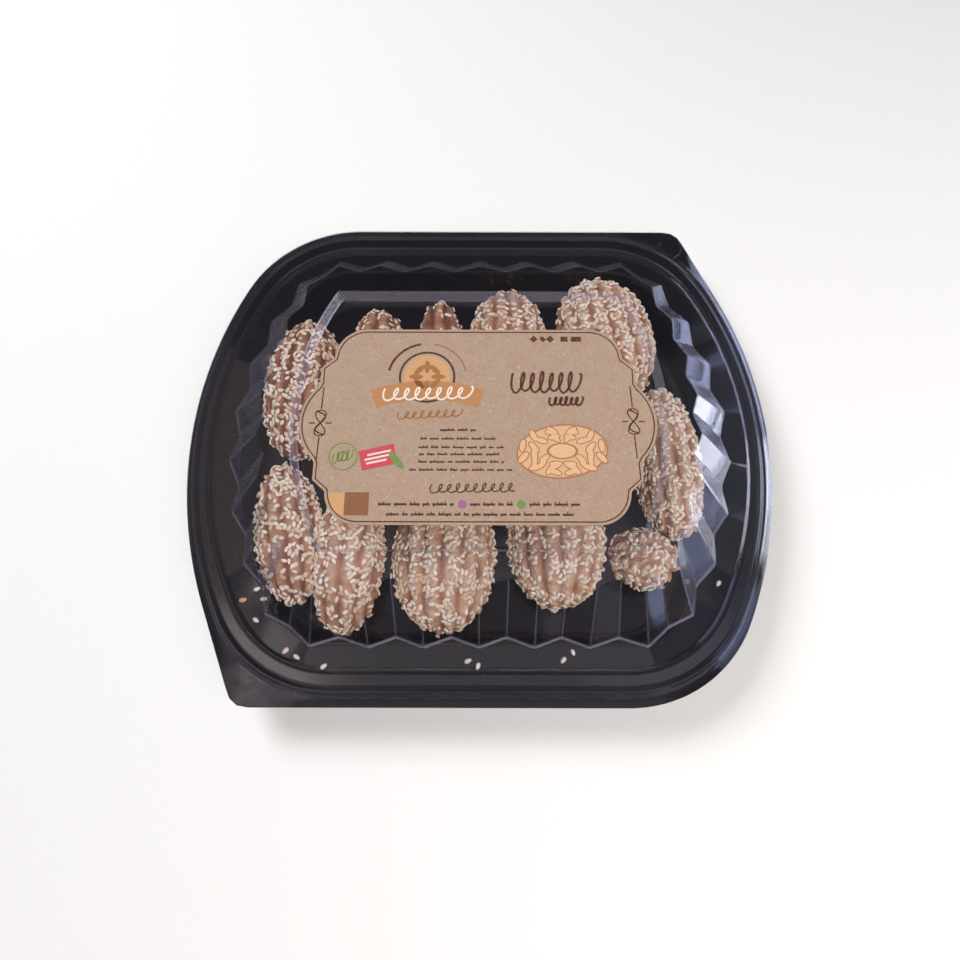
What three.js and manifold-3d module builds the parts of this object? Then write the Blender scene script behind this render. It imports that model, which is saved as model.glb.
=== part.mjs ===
// Retail pack of filled, moulded pastries under sesame: a black tray with a wide rim, a clear lid with a
// pleated wall and a sunk panel, a paper label in that panel, and one layer of pastries on the tray's floor.
// Millimetres, +Z up. The origin is under the middle of the pack, on the surface that the tray stands on.
import * as THREE from 'three';
import { mergeVertices } from 'three/addons/utils/BufferGeometryUtils.js';
import { MeshSurfaceSampler } from 'three/addons/math/MeshSurfaceSampler.js';
import Module from 'manifold-3d';

const wasm = await Module();
wasm.setup();

// Plan curves, from the pack's edge inwards. Each is a closed oval, the same left and right, front and back:
// a straight front, a corner arc that turns by `turn` degrees, and one long arc across the side.
const edgeRing = { halfWidth: 130, halfDepth: 113.3, corner: 58, turn: 65 };
const grooveRing = { halfWidth: 119.5, halfDepth: 99.5, corner: 47.3, turn: 61.5 };
const pleatFootRing = { halfWidth: 109.2, halfDepth: 90.4, corner: 28.7, turn: 56.9 };
const pleatTopRing = { halfWidth: 89.6, halfDepth: 70.1, corner: 13.4, turn: 59.8 };
const cavityTopRing = { halfWidth: 107, halfDepth: 88.6, corner: 27, turn: 57 };
const cavityFootRing = { halfWidth: 104.8, halfDepth: 86.6, corner: 25.5, turn: 57 };

// The lid's sunk panel has sharp corners: a straight front and back, and bulging sides.
const panelRim = { halfWidth: 76.4, halfDepth: 56.6, straight: 61 };
const panelFoot = { halfWidth: 74.4, halfDepth: 55.1, straight: 60 };

// Heights above the surface that the pack stands on.
const trayRimHeight = 21.2;
const trayRailHeight = 23.4;
const trayLedgeHeight = 22.4;
const lidEdgeHeight = 22.2;
const lidBeadHeight = 26.6;
const lidBandHeight = 25.6;
const lidGrooveHeight = 24.8;
const pleatFootHeight = 29;
const lidTopHeight = 53;
const panelHeight = 48;

// Places across the rim, as shares of the way from the pack's edge to the groove. The lid's underside has
// its own, because its bends lie a wall's thickness further in or out.
const trayRim = { flange: 0.38, railOuter: 0.5, railInner: 0.95 };
const trayRimUnder = { flange: 0.42, railOuter: 0.54, railInner: 0.91 };
const lidRim = {
  edge: 0.02, flange: 0.28, beadOuter: 0.36, beadInner: 0.5, bandOuter: 0.6, bandInner: 0.92,
};
const lidRimUnder = { flange: 0.33, beadOuter: 0.43, bandOuter: 0.56, bandInner: 0.9 };
const tabSeam = 0.18;

// Places on the ledges, as shares of the way from the groove inwards.
const trayLedgeStart = 0.12;
const trayLedgeStartUnder = 0.1;
const lidShelfStart = 0.12;
const lidShelfStartUnder = 0.16;

// The tray's floor runs into its wall over a bevel.
const floorBevel = 3;
const floorBevelUnder = 2.6;

// Straight steps on a round corner.
const curveSegments = 6;

// Walls, and the gap that keeps pieces apart where they rest on each other.
const trayWall = 0.9;
const lidWall = 0.7;
const gap = 0.3;

// Pleats: pairs of facets that fold in and out round the lid's wall.
const pleatPitch = 22;
const pleatFoldFoot = 4;
const pleatFoldTop = 3.2;
const pleatStep = 1.6;
const pleatStepReach = 0.5;
const quarterStations = 15;
const evenStations = 4;
const panelCornerStation = 7;

// Pull tabs: the rim runs on to a corner at the back right and at the front left.
const tabCorner = { x: 98.2, radius: 8.5 };
const tabSide = { x: 116.6, y: 70 };
const tabBackStart = 58;

// Paper label: a plaque with a straight front and back, round shoulders, a notch and bulging sides.
const label = { x: -0.6, y: -2.5, halfDepth: 43.1, shoulder: 13.6, shoulderX: 47, thickness: 0.4 };
const labelNotch = { x: 65.8, top: 24.8, foot: 17.6 };
const labelBulge = { halfWidth: 73.2, radius: 22.5, reach: 15.8 };
const labelArcSteps = 3;

// Pastries: moulded ovals with ribs along their length, each pressed and baked a little differently.
// x and y place the middle, turn is about the vertical, in degrees, and widest is the height of the widest
// level as a share of the whole. The higher that level lies, the more the foot draws in.
const pastries = [
  { x: -82.7, y: 27.8, wide: 38, long: 73, tall: 32, turn: -3, widest: 0.5 },
  { x: -48.8, y: 39.5, wide: 34.4, long: 69, tall: 29, turn: 0, widest: 0.3 },
  { x: -19.4, y: 45.5, wide: 26.6, long: 67, tall: 29, turn: 0, widest: 0.3 },
  { x: 13.4, y: 48.5, wide: 42, long: 70, tall: 33, turn: 0, widest: 0.3 },
  { x: 61, y: 53.2, wide: 45, long: 67, tall: 37, turn: 14, widest: 0.45 },
  { x: 85.8, y: -5, wide: 32, long: 70, tall: 31, turn: 4, widest: 0.45 },
  { x: 72.8, y: -53, wide: 24, long: 28, tall: 24, turn: 75, widest: 0.4 },
  { x: 34, y: -44, wide: 46, long: 64, tall: 31, turn: 0, widest: 0.35 },
  { x: -15.5, y: -51, wide: 48, long: 71, tall: 32, turn: 0, widest: 0.35 },
  { x: -55.6, y: -52.4, wide: 30, long: 68, tall: 30, turn: -2, widest: 0.35 },
  { x: -83.4, y: -41.3, wide: 28.4, long: 64, tall: 29, turn: 10, widest: 0.62 },
];
const ribPitch = 6.6;
const ribDepth = 1.5;
const pastryRows = 8;
const pastryFoot = { share: 0.96, drawIn: 0.3 };
const crownPower = 2.6;
const crownHeart = { across: 0.55, along: 0.7 };

// Rows and columns of the crust stand closer towards its edge: the angle over which they are spread evenly.
const rowSpread = 1.25;
const columnSpread = 1.15;

// Sesame: a flat teardrop about 3 mm long, half sunk into the crust, and a few that lie on the tray's rim.
const sesame = { long: 3.4, wide: 2.1, thick: 1.3 };
const seedsOnPastry = 12;
const seedTries = 14;
const seedLowest = 0.5;
const seedSink = 0.3;
const looseSeedSink = 0.25;
const firstSeedDraw = 101;
const looseSeeds = [
  { x: -92.5, y: -66.8, turn: 165 },
  { x: -97.8, y: -71.3, turn: 95 },
  { x: -91.6, y: -79.5, turn: 110 },
  { x: -78.3, y: -91.6, turn: 35 },
  { x: -73.6, y: -94, turn: 40 },
  { x: -4.4, y: -95.4, turn: 20 },
  { x: 34, y: -95, turn: 160 },
  { x: 100, y: -64, turn: 60 },
];

const finishes = {
  tray: new THREE.MeshStandardMaterial({ color: '#1d1b1d', roughness: 0.22, metalness: 0 }),
  lid: new THREE.MeshStandardMaterial({
    color: '#dfe5ee', roughness: 0.05, metalness: 0, transparent: true, opacity: 0.3,
  }),
  label: new THREE.MeshStandardMaterial({ color: '#dcc0a4', roughness: 0.8, metalness: 0 }),
  crust: new THREE.MeshStandardMaterial({ color: '#c99b70', roughness: 0.75, metalness: 0 }),
};

// A repeatable stream of numbers between 0 and 1.
function numberStream(seed) {
  let state = seed;
  return () => {
    state = (Math.imul(state, 1664525) + 1013904223) >>> 0;
    return state / 4294967296;
  };
}

// The plan curve that lies a share of the way from one ring to another.
function between(outer, inner, share) {
  const mix = (name) => THREE.MathUtils.lerp(outer[name], inner[name], share);
  return {
    halfWidth: mix('halfWidth'),
    halfDepth: mix('halfDepth'),
    corner: mix('corner'),
    turn: mix('turn'),
  };
}

// A quarter of a round-cornered ring, from the middle of the back to the middle of the right side.
function ringQuarter(ring) {
  const turn = THREE.MathUtils.degToRad(ring.turn);
  const drop = ring.halfDepth - ring.corner;
  const sideRadius = ring.corner + drop / Math.cos(turn);
  const straight = ring.halfWidth - ring.corner - drop * (1 - Math.sin(turn)) / Math.cos(turn);
  const sideStart = Math.PI / 2 - turn;
  const path = new THREE.CurvePath();
  const start = new THREE.Vector2(0, ring.halfDepth);
  path.add(new THREE.LineCurve(start, new THREE.Vector2(straight, ring.halfDepth)));
  path.add(new THREE.EllipseCurve(straight, drop, ring.corner, ring.corner, Math.PI / 2, sideStart, true));
  const sideX = ring.halfWidth - sideRadius;
  path.add(new THREE.EllipseCurve(sideX, 0, sideRadius, sideRadius, sideStart, 0, true));
  return { path, lead: evenStations * pleatPitch / 2, leadStations: evenStations };
}

// A quarter of the sharp-cornered panel: the straight back, then the bulging side.
function panelQuarter(ring) {
  const reach = ring.halfWidth - ring.straight;
  const radius = (reach * reach + ring.halfDepth * ring.halfDepth) / (2 * reach);
  const path = new THREE.CurvePath();
  const corner = new THREE.Vector2(ring.straight, ring.halfDepth);
  path.add(new THREE.LineCurve(new THREE.Vector2(0, ring.halfDepth), corner));
  const cornerAngle = Math.asin(ring.halfDepth / radius);
  path.add(new THREE.EllipseCurve(ring.halfWidth - radius, 0, radius, radius, cornerAngle, 0, true));
  return { path, lead: ring.straight, leadStations: panelCornerStation };
}

// Points on a quarter curve. Every second one may be folded inwards, which makes the pleats.
function quarterPoints({ path, lead, leadStations }, fold) {
  const length = path.getLength();
  const points = [];
  for (let station = 0; station <= quarterStations; station += 1) {
    const rest = (station - leadStations) / (quarterStations - leadStations);
    const distance = rest <= 0 ? lead * station / leadStations : lead + (length - lead) * rest;
    const share = Math.min(distance / length, 1);
    const point = path.getPointAt(share);
    if (fold > 0 && station % 2 === 1) {
      const tangent = path.getTangentAt(share);
      point.add(new THREE.Vector2(tangent.y, -tangent.x).multiplyScalar(fold));
    }
    points.push(point);
  }
  points[0].x = 0;
  points[quarterStations].y = 0;
  return points;
}

// A closed loop of points at one height, clockwise from above, made of four mirrored quarters.
function loop(quarter, height, fold = 0) {
  const points = quarterPoints(quarter, fold);
  const back = points.slice(1, -1).reverse();
  const round = [
    ...points.map(({ x, y }) => [x, y]),
    ...back.map(({ x, y }) => [x, -y]),
    [0, -points[0].y],
    ...points.slice(1).map(({ x, y }) => [-x, -y]),
    ...back.map(({ x, y }) => [-x, y]),
  ];
  return round.map(([x, y]) => new THREE.Vector3(x, y, height));
}

// A closed skin through loops of equal length, each four-sided facet split across its shorter diagonal.
// A loop of one point closes an end.
function skin(loops) {
  const positions = [];
  const push = (...corners) => corners.forEach((corner) => positions.push(corner.x, corner.y, corner.z));
  for (let row = 0; row + 1 < loops.length; row += 1) {
    const [inner, outer] = [loops[row], loops[row + 1]];
    const count = Math.max(inner.length, outer.length);
    for (let k = 0; k < count; k += 1) {
      const next = (k + 1) % count;
      const [a, b] = [inner[k % inner.length], inner[next % inner.length]];
      const [c, d] = [outer[next % outer.length], outer[k % outer.length]];
      if (inner.length === 1) {
        push(a, c, d);
      } else if (outer.length === 1) {
        push(a, b, c);
      } else if (a.distanceTo(c) < b.distanceTo(d)) {
        push(a, c, d, a, b, c);
      } else {
        push(a, b, d, b, c, d);
      }
    }
  }
  const geometry = new THREE.BufferGeometry();
  geometry.setAttribute('position', new THREE.Float32BufferAttribute(positions, 3));
  return geometry;
}

// A closed mesh as a solid that can be joined and cut.
function toSolid(geometry) {
  const bare = geometry.index ? geometry.toNonIndexed() : geometry.clone();
  bare.deleteAttribute('normal');
  bare.deleteAttribute('uv');
  const merged = mergeVertices(bare, 1e-4);
  return new wasm.Manifold(new wasm.Mesh({
    numProp: 3,
    vertProperties: new Float32Array(merged.attributes.position.array),
    triVerts: new Uint32Array(merged.index.array),
  }));
}

// A solid as a mesh geometry with flat faces.
function toGeometry(solid) {
  const { numProp, vertProperties, triVerts } = solid.getMesh();
  const positions = new Float32Array(vertProperties.length / numProp * 3);
  for (let vertex = 0; vertex * numProp < vertProperties.length; vertex += 1) {
    positions.set(vertProperties.subarray(vertex * numProp, vertex * numProp + 3), vertex * 3);
  }
  const geometry = new THREE.BufferGeometry();
  geometry.setAttribute('position', new THREE.BufferAttribute(positions, 3));
  geometry.setIndex(new THREE.BufferAttribute(new Uint32Array(triVerts), 1));
  geometry.computeVertexNormals();
  return geometry;
}

// An outline raised from one height to another.
function plate(shape, low, high) {
  const settings = { depth: high - low, bevelEnabled: false, curveSegments };
  return new THREE.ExtrudeGeometry(shape, settings).translate(0, 0, low);
}

// The two pull tabs, less what lies inside the rim.
function tabSolids(low, high, inset) {
  const back = edgeRing.halfDepth - inset;
  const cornerX = tabCorner.x - inset;
  const slope = (tabSide.x - tabCorner.x) / (edgeRing.halfDepth - tabSide.y);
  const turn = Math.PI / 2 - Math.atan(slope);
  const setback = tabCorner.radius * Math.tan(turn / 2);
  const cornerY = back - tabCorner.radius;
  const shape = new THREE.Shape();
  shape.moveTo(tabBackStart, back);
  shape.lineTo(cornerX - setback, back);
  shape.absarc(cornerX - setback, cornerY, tabCorner.radius, Math.PI / 2, Math.PI / 2 - turn, true);
  shape.lineTo(tabSide.x - inset, tabSide.y);
  shape.lineTo(tabBackStart, tabSide.y);
  const inside = loop(ringQuarter(between(edgeRing, grooveRing, tabSeam)), 0);
  const insideShape = new THREE.Shape(inside.map(({ x, y }) => new THREE.Vector2(x, y)));
  const core = toSolid(plate(insideShape, low - 1, high + 1));
  const tab = toSolid(plate(shape, low, high)).subtract(core);
  return [tab, tab.rotate([0, 0, 180])];
}

// A low-sided sesame seed on its side, its middle at the origin.
function seedGeometry() {
  const body = new THREE.SphereGeometry(0.5, 5, 3);
  return body.rotateX(Math.PI / 2).scale(sesame.long, sesame.wide, sesame.thick);
}

// A seed placed on a surface, turned about the surface's normal and sunk a little.
function seedSolid(position, normal, turn, sink) {
  const stand = new THREE.Quaternion().setFromUnitVectors(new THREE.Vector3(0, 0, 1), normal);
  const spin = new THREE.Quaternion().setFromAxisAngle(new THREE.Vector3(0, 0, 1), turn);
  const middle = position.clone().addScaledVector(normal, sesame.thick * (0.5 - sink));
  const matrix = new THREE.Matrix4().compose(middle, stand.multiply(spin), new THREE.Vector3(1, 1, 1));
  return toSolid(seedGeometry().applyMatrix4(matrix));
}

// A ring whose curve lies further out by a size in millimetres, or further in if it is negative.
function grown(ring, size) {
  return {
    ...ring,
    halfWidth: ring.halfWidth + size,
    halfDepth: ring.halfDepth + size,
    corner: ring.corner + size,
  };
}

// Tray: floor, sloping wall, flat ledge, low rail and flange, all one skin with an even wall.
function trayGeometry() {
  const rim = (share) => ringQuarter(between(edgeRing, grooveRing, share));
  const ledge = (share) => ringQuarter(between(grooveRing, cavityTopRing, share));
  const floorRing = grown(cavityFootRing, -floorBevel);
  const under = (height) => height - trayWall;
  const loops = [
    [new THREE.Vector3(0, 0, trayWall)],
    loop(ringQuarter(floorRing), trayWall),
    loop(ringQuarter(cavityFootRing), trayWall + floorBevel),
    loop(ringQuarter(cavityTopRing), trayLedgeHeight),
    loop(ledge(trayLedgeStart), trayLedgeHeight),
    loop(rim(trayRim.railInner), trayRailHeight),
    loop(rim(trayRim.railOuter), trayRailHeight),
    loop(rim(trayRim.flange), trayRimHeight),
    loop(rim(0), trayRimHeight),
    loop(rim(0), under(trayRimHeight)),
    loop(rim(trayRimUnder.flange), under(trayRimHeight)),
    loop(rim(trayRimUnder.railOuter), under(trayRailHeight)),
    loop(rim(trayRimUnder.railInner), under(trayRailHeight)),
    loop(ledge(trayLedgeStartUnder), under(trayLedgeHeight)),
    loop(ringQuarter(grown(cavityTopRing, trayWall)), under(trayLedgeHeight)),
    loop(ringQuarter(grown(cavityFootRing, trayWall)), trayWall + floorBevelUnder),
    loop(ringQuarter(grown(floorRing, trayWall / 3)), 0),
    [new THREE.Vector3(0, 0, 0)],
  ];
  const tabs = tabSolids(under(trayRimHeight), trayRimHeight, 0);
  const up = new THREE.Vector3(0, 0, 1);
  const seeds = looseSeeds.map(({ x, y, turn }) => {
    const place = new THREE.Vector3(x, y, trayLedgeHeight);
    return seedSolid(place, up, THREE.MathUtils.degToRad(turn), looseSeedSink);
  });
  return toGeometry(wasm.Manifold.union([toSolid(skin(loops)), ...tabs, ...seeds]));
}

// The underside of the sunk panel's wall: as much further out as the lid is thick, all round.
function panelUnder(ring) {
  return {
    halfWidth: ring.halfWidth + lidWall,
    halfDepth: ring.halfDepth + lidWall,
    straight: ring.straight + lidWall,
  };
}

// Lid: flange, bead, band, groove and ledge, then the pleated wall, the flat top and the sunk panel.
function lidGeometry() {
  const rim = (share) => ringQuarter(between(edgeRing, grooveRing, share));
  const shelf = (share) => ringQuarter(between(grooveRing, pleatFootRing, share));
  const wall = (ring, size) => ringQuarter({
    ...ring, halfWidth: ring.halfWidth + size, halfDepth: ring.halfDepth + size,
  });
  const under = (height) => height - lidWall;
  const stepFoot = pleatFootHeight - pleatStep;
  const loops = [
    [new THREE.Vector3(0, 0, panelHeight)],
    loop(panelQuarter(panelFoot), panelHeight),
    loop(panelQuarter(panelRim), lidTopHeight),
    loop(wall(pleatTopRing, 0), lidTopHeight, pleatFoldTop),
    loop(wall(pleatFootRing, 0), pleatFootHeight, pleatFoldFoot),
    loop(wall(pleatFootRing, pleatStepReach), stepFoot, pleatFoldFoot),
    loop(shelf(lidShelfStart), lidBandHeight),
    loop(rim(1), lidGrooveHeight),
    loop(rim(lidRim.bandInner), lidBandHeight),
    loop(rim(lidRim.bandOuter), lidBandHeight),
    loop(rim(lidRim.beadInner), lidBeadHeight),
    loop(rim(lidRim.beadOuter), lidBeadHeight),
    loop(rim(lidRim.flange), lidEdgeHeight),
    loop(rim(lidRim.edge), lidEdgeHeight),
    loop(rim(lidRim.edge), under(lidEdgeHeight)),
    loop(rim(lidRimUnder.flange), under(lidEdgeHeight)),
    loop(rim(lidRimUnder.beadOuter), under(lidBeadHeight)),
    loop(rim(lidRimUnder.bandOuter), under(lidBandHeight)),
    loop(rim(lidRimUnder.bandInner), under(lidBandHeight)),
    loop(rim(1), under(lidGrooveHeight)),
    loop(shelf(lidShelfStartUnder), under(lidBandHeight)),
    loop(wall(pleatFootRing, pleatStepReach - lidWall), under(stepFoot), pleatFoldFoot),
    loop(wall(pleatFootRing, -lidWall), under(pleatFootHeight), pleatFoldFoot),
    loop(wall(pleatTopRing, -lidWall), under(lidTopHeight), pleatFoldTop),
    loop(panelQuarter(panelUnder(panelRim)), under(lidTopHeight)),
    loop(panelQuarter(panelUnder(panelFoot)), under(panelHeight)),
    [new THREE.Vector3(0, 0, under(panelHeight))],
  ];
  const tabs = tabSolids(under(lidEdgeHeight), lidEdgeHeight, gap);
  return toGeometry(wasm.Manifold.union([toSolid(skin(loops)), ...tabs]));
}

// Label: half of the plaque's outline is drawn, and the other half is the same turned round.
function labelGeometry() {
  const { halfDepth, shoulder, shoulderX, thickness } = label;
  const { halfWidth, radius, reach } = labelBulge;
  const bulgeX = halfWidth - radius;
  const bulgeAngle = Math.asin(reach / radius);
  const bulgeStart = bulgeX + radius * Math.cos(bulgeAngle);
  const quarter = new THREE.Path();
  quarter.moveTo(0, halfDepth);
  quarter.lineTo(shoulderX, halfDepth);
  quarter.absarc(shoulderX, halfDepth - shoulder, shoulder, Math.PI / 2, 0, true);
  quarter.lineTo(labelNotch.x, labelNotch.top);
  quarter.lineTo(labelNotch.x, labelNotch.foot);
  quarter.lineTo(bulgeStart, reach);
  quarter.absarc(bulgeX, 0, radius, bulgeAngle, 0, true);
  const points = quarter.getPoints(labelArcSteps);
  const mirrored = points.slice(0, -1).reverse().map(({ x, y }) => new THREE.Vector2(x, -y));
  const right = [...points, ...mirrored].slice(0, -1);
  const left = right.map(({ x, y }) => new THREE.Vector2(-x, -y));
  const shape = new THREE.Shape([...right, ...left]);
  const low = panelHeight + gap;
  return plate(shape, low, low + thickness).translate(label.x, label.y, 0);
}

// A point of a pastry's ribbed crust. Across and along run from -1 to 1 over an oval plan.
function crustPoint({ wide, long, tall, widest }, across, along, crest) {
  const u = across * Math.sqrt(1 - along * along / 2);
  const v = along * Math.sqrt(1 - across * across / 2);
  const reach = Math.min(Math.hypot(u, v), 1);
  const flank = tall * widest;
  const rise = Math.sqrt(1 - Math.pow(reach, crownPower));
  const point = new THREE.Vector3(u * wide / 2, v * long / 2, flank + (tall - flank) * rise);
  const heart = new THREE.Vector3(point.x * crownHeart.across, point.y * crownHeart.along, flank);
  const out = point.clone().sub(heart).normalize();
  return point.addScaledVector(out, crest ? 0 : -ribDepth);
}

// A share from 0 to 1 as a place from -1 to 1, with the places closer together towards both ends.
function spread(share, angle) {
  return Math.sin((share * 2 - 1) * angle) / Math.sin(angle);
}

// A pastry without seeds: the ribbed crown, a flank that draws in, and a flat foot.
function pastryBody(pastry) {
  const ribs = Math.round(pastry.wide / ribPitch);
  const columns = ribs * 2;
  const grid = [];
  for (let row = 0; row <= pastryRows; row += 1) {
    const along = spread(row / pastryRows, rowSpread);
    grid.push([]);
    for (let column = 0; column <= columns; column += 1) {
      const across = spread(column / columns, columnSpread);
      grid[row].push(crustPoint(pastry, across, along, column % 2 === 1));
    }
  }
  const positions = [];
  const push = (...corners) => corners.forEach((corner) => positions.push(corner.x, corner.y, corner.z));
  for (let row = 0; row < pastryRows; row += 1) {
    for (let column = 0; column < columns; column += 1) {
      const [a, b] = [grid[row][column], grid[row][column + 1]];
      const [c, d] = [grid[row + 1][column + 1], grid[row + 1][column]];
      push(a, b, c);
      push(a, c, d);
    }
  }
  const border = [
    ...grid[0],
    ...grid.slice(1).map((row) => row[columns]),
    ...grid[pastryRows].slice(0, -1).reverse(),
    ...grid.slice(1, -1).reverse().map((row) => row[0]),
  ];
  const footShare = pastryFoot.share - pastryFoot.drawIn * pastry.widest;
  const foot = border.map(({ x, y }) => new THREE.Vector3(x * footShare, y * footShare, 0));
  border.forEach((corner, k) => {
    const next = (k + 1) % border.length;
    push(foot[k], foot[next], border[next]);
    push(foot[k], border[next], corner);
    push(new THREE.Vector3(0, 0, 0), foot[next], foot[k]);
  });
  const geometry = new THREE.BufferGeometry();
  geometry.setAttribute('position', new THREE.Float32BufferAttribute(positions, 3));
  return geometry;
}

// A pastry with its larger seeds, spread evenly over the crown by a seeded draw.
function pastryGeometry(pastry, seed) {
  const body = pastryBody(pastry);
  const random = numberStream(seed);
  const sampler = new MeshSurfaceSampler(new THREE.Mesh(body)).setRandomGenerator(random).build();
  const placed = [];
  const seeds = [];
  const position = new THREE.Vector3();
  const normal = new THREE.Vector3();
  while (seeds.length < seedsOnPastry) {
    let best = null;
    for (let attempt = 0; attempt < seedTries; attempt += 1) {
      sampler.sample(position, normal);
      if (position.z < pastry.tall * seedLowest) {
        continue;
      }
      const clearance = Math.min(Infinity, ...placed.map((other) => other.distanceTo(position)));
      if (!best || clearance > best.clearance) {
        best = { clearance, position: position.clone(), normal: normal.clone() };
      }
    }
    if (best) {
      placed.push(best.position);
      seeds.push(seedSolid(best.position, best.normal, random() * Math.PI, seedSink));
    }
  }
  return toGeometry(wasm.Manifold.union([toSolid(body), ...seeds]));
}

// A mesh that carries the name of its piece.
function namedMesh(name, geometry, material) {
  const mesh = new THREE.Mesh(geometry, material);
  mesh.name = name;
  return mesh;
}

const group = new THREE.Group();
group.add(namedMesh('tray', trayGeometry(), finishes.tray));
group.add(namedMesh('lid', lidGeometry(), finishes.lid));
group.add(namedMesh('label', labelGeometry(), finishes.label));

pastries.forEach((pastry, k) => {
  const name = `pastry_${String(k + 1).padStart(2, '0')}`;
  const mesh = namedMesh(name, pastryGeometry(pastry, firstSeedDraw + k), finishes.crust);
  mesh.rotation.z = THREE.MathUtils.degToRad(pastry.turn);
  mesh.position.set(pastry.x, pastry.y, trayWall + gap);
  group.add(mesh);
});

export default group;
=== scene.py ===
"""Looks of a shut retail pack of filled pastries under sesame.

A glossy black tray, a clear lid with a pleated wall and a sunk panel, a kraft label in that panel, and one layer
of ribbed pastries. Sizes are in millimetres and become metres where a mesh is made. +Z is up, and the origin is
under the middle of the pack, on the surface that it stands on.
"""

import logging
import math
from dataclasses import dataclass, replace
from enum import Enum
from typing import Any, Optional, Sequence

import bpy
import numpy as np
from mathutils import Matrix, Vector


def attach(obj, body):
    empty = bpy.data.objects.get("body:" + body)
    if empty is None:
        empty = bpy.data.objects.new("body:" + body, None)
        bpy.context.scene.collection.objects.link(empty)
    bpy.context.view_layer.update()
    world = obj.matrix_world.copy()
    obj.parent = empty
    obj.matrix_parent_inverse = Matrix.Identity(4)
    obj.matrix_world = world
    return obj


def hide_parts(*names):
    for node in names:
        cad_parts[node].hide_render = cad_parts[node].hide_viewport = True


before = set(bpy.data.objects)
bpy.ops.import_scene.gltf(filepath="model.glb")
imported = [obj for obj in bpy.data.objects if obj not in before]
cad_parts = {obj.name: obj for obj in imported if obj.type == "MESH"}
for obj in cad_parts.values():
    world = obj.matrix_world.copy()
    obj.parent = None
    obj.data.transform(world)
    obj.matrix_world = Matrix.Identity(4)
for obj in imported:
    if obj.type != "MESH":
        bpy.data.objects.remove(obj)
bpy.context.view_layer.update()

log = logging.getLogger("pack")
MM = 0.001
BODY = "root"


def linear(hex_colour: str) -> tuple[float, float, float, float]:
    """Turns an sRGB hex value into the linear colour that a shader takes.

    Args:
        hex_colour: six hex digits after a hash.

    Returns:
        Red, green, blue and an alpha of 1.
    """
    parts = [int(hex_colour[place:place + 2], 16) / 255 for place in (1, 3, 5)]
    light = [part / 12.92 if part <= 0.04045 else ((part + 0.055) / 1.055) ** 2.4 for part in parts]
    return light[0], light[1], light[2], 1.0


def add_node(tree: bpy.types.NodeTree, kind: str, inputs: Optional[dict] = None, **settings: Any) -> bpy.types.Node:
    """Adds a node with its settings, and gives each input a value or a link.

    Args:
        tree: the tree that takes the node.
        kind: Blender's name of the node.
        inputs: by name or number, a value or another node's output.
        settings: properties of the node, set before its inputs.

    Returns:
        The new node.
    """
    node = tree.nodes.new(kind)
    for name, value in settings.items():
        setattr(node, name, value)
    for name, value in (inputs or {}).items():
        if isinstance(value, bpy.types.NodeSocket):
            tree.links.new(value, node.inputs[name])
        else:
            node.inputs[name].default_value = value
    return node


class Side(Enum):
    """Which way a fold of the pleated wall lies at a station."""

    OUT = 0
    IN = 1


class Layer(Enum):
    """Height of an ink film above the label, in hundredths of a millimetre."""

    FIELD = 3
    SHAPE = 5
    DETAIL = 7
    LINE = 9


# Plan curves of the rim and the pleated wall. Stations run clockwise from the middle of the back, 15 to a quarter.
QUARTER_STATIONS = 15
LEAD_STATIONS = 4
ALL_STATIONS = 4 * QUARTER_STATIONS
PLEAT_PITCH = 22.0


@dataclass(frozen=True)
class PlanCurve:
    """A closed curve in plan that repeats one quarter, from the middle of the back to the middle of the side."""

    half_width: float
    half_depth: float

    def quarter(self, station: np.ndarray) -> tuple[np.ndarray, np.ndarray]:
        """The quarter's points and outward normals; every kind of curve has its own."""
        raise NotImplementedError

    def around(self, station: np.ndarray) -> tuple[np.ndarray, np.ndarray]:
        """Runs the quarter round all four quarters.

        Args:
            station: places round the whole curve, from 0 to 60.

        Returns:
            Points and outward normals, each with a row for each station.
        """
        side, front, left = QUARTER_STATIONS, 2 * QUARTER_STATIONS, 3 * QUARTER_STATIONS
        local = np.where(station <= side, station, np.where(station <= front, front - station, station))
        local = np.where(station > front, np.where(station <= left, station - front, ALL_STATIONS - station), local)
        flip_x = np.where(station > front, -1, 1)
        flip_y = np.where((station > side) & (station < left), -1, 1)
        flip = np.stack([flip_x, flip_y], axis=1)
        points, normals = self.quarter(local)
        return points * flip, normals * flip

    def loop(self, station: np.ndarray, height: float) -> np.ndarray:
        """The whole curve at one height."""
        points, _ = self.around(station)
        return np.column_stack([points, np.full(len(points), height)])


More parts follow.
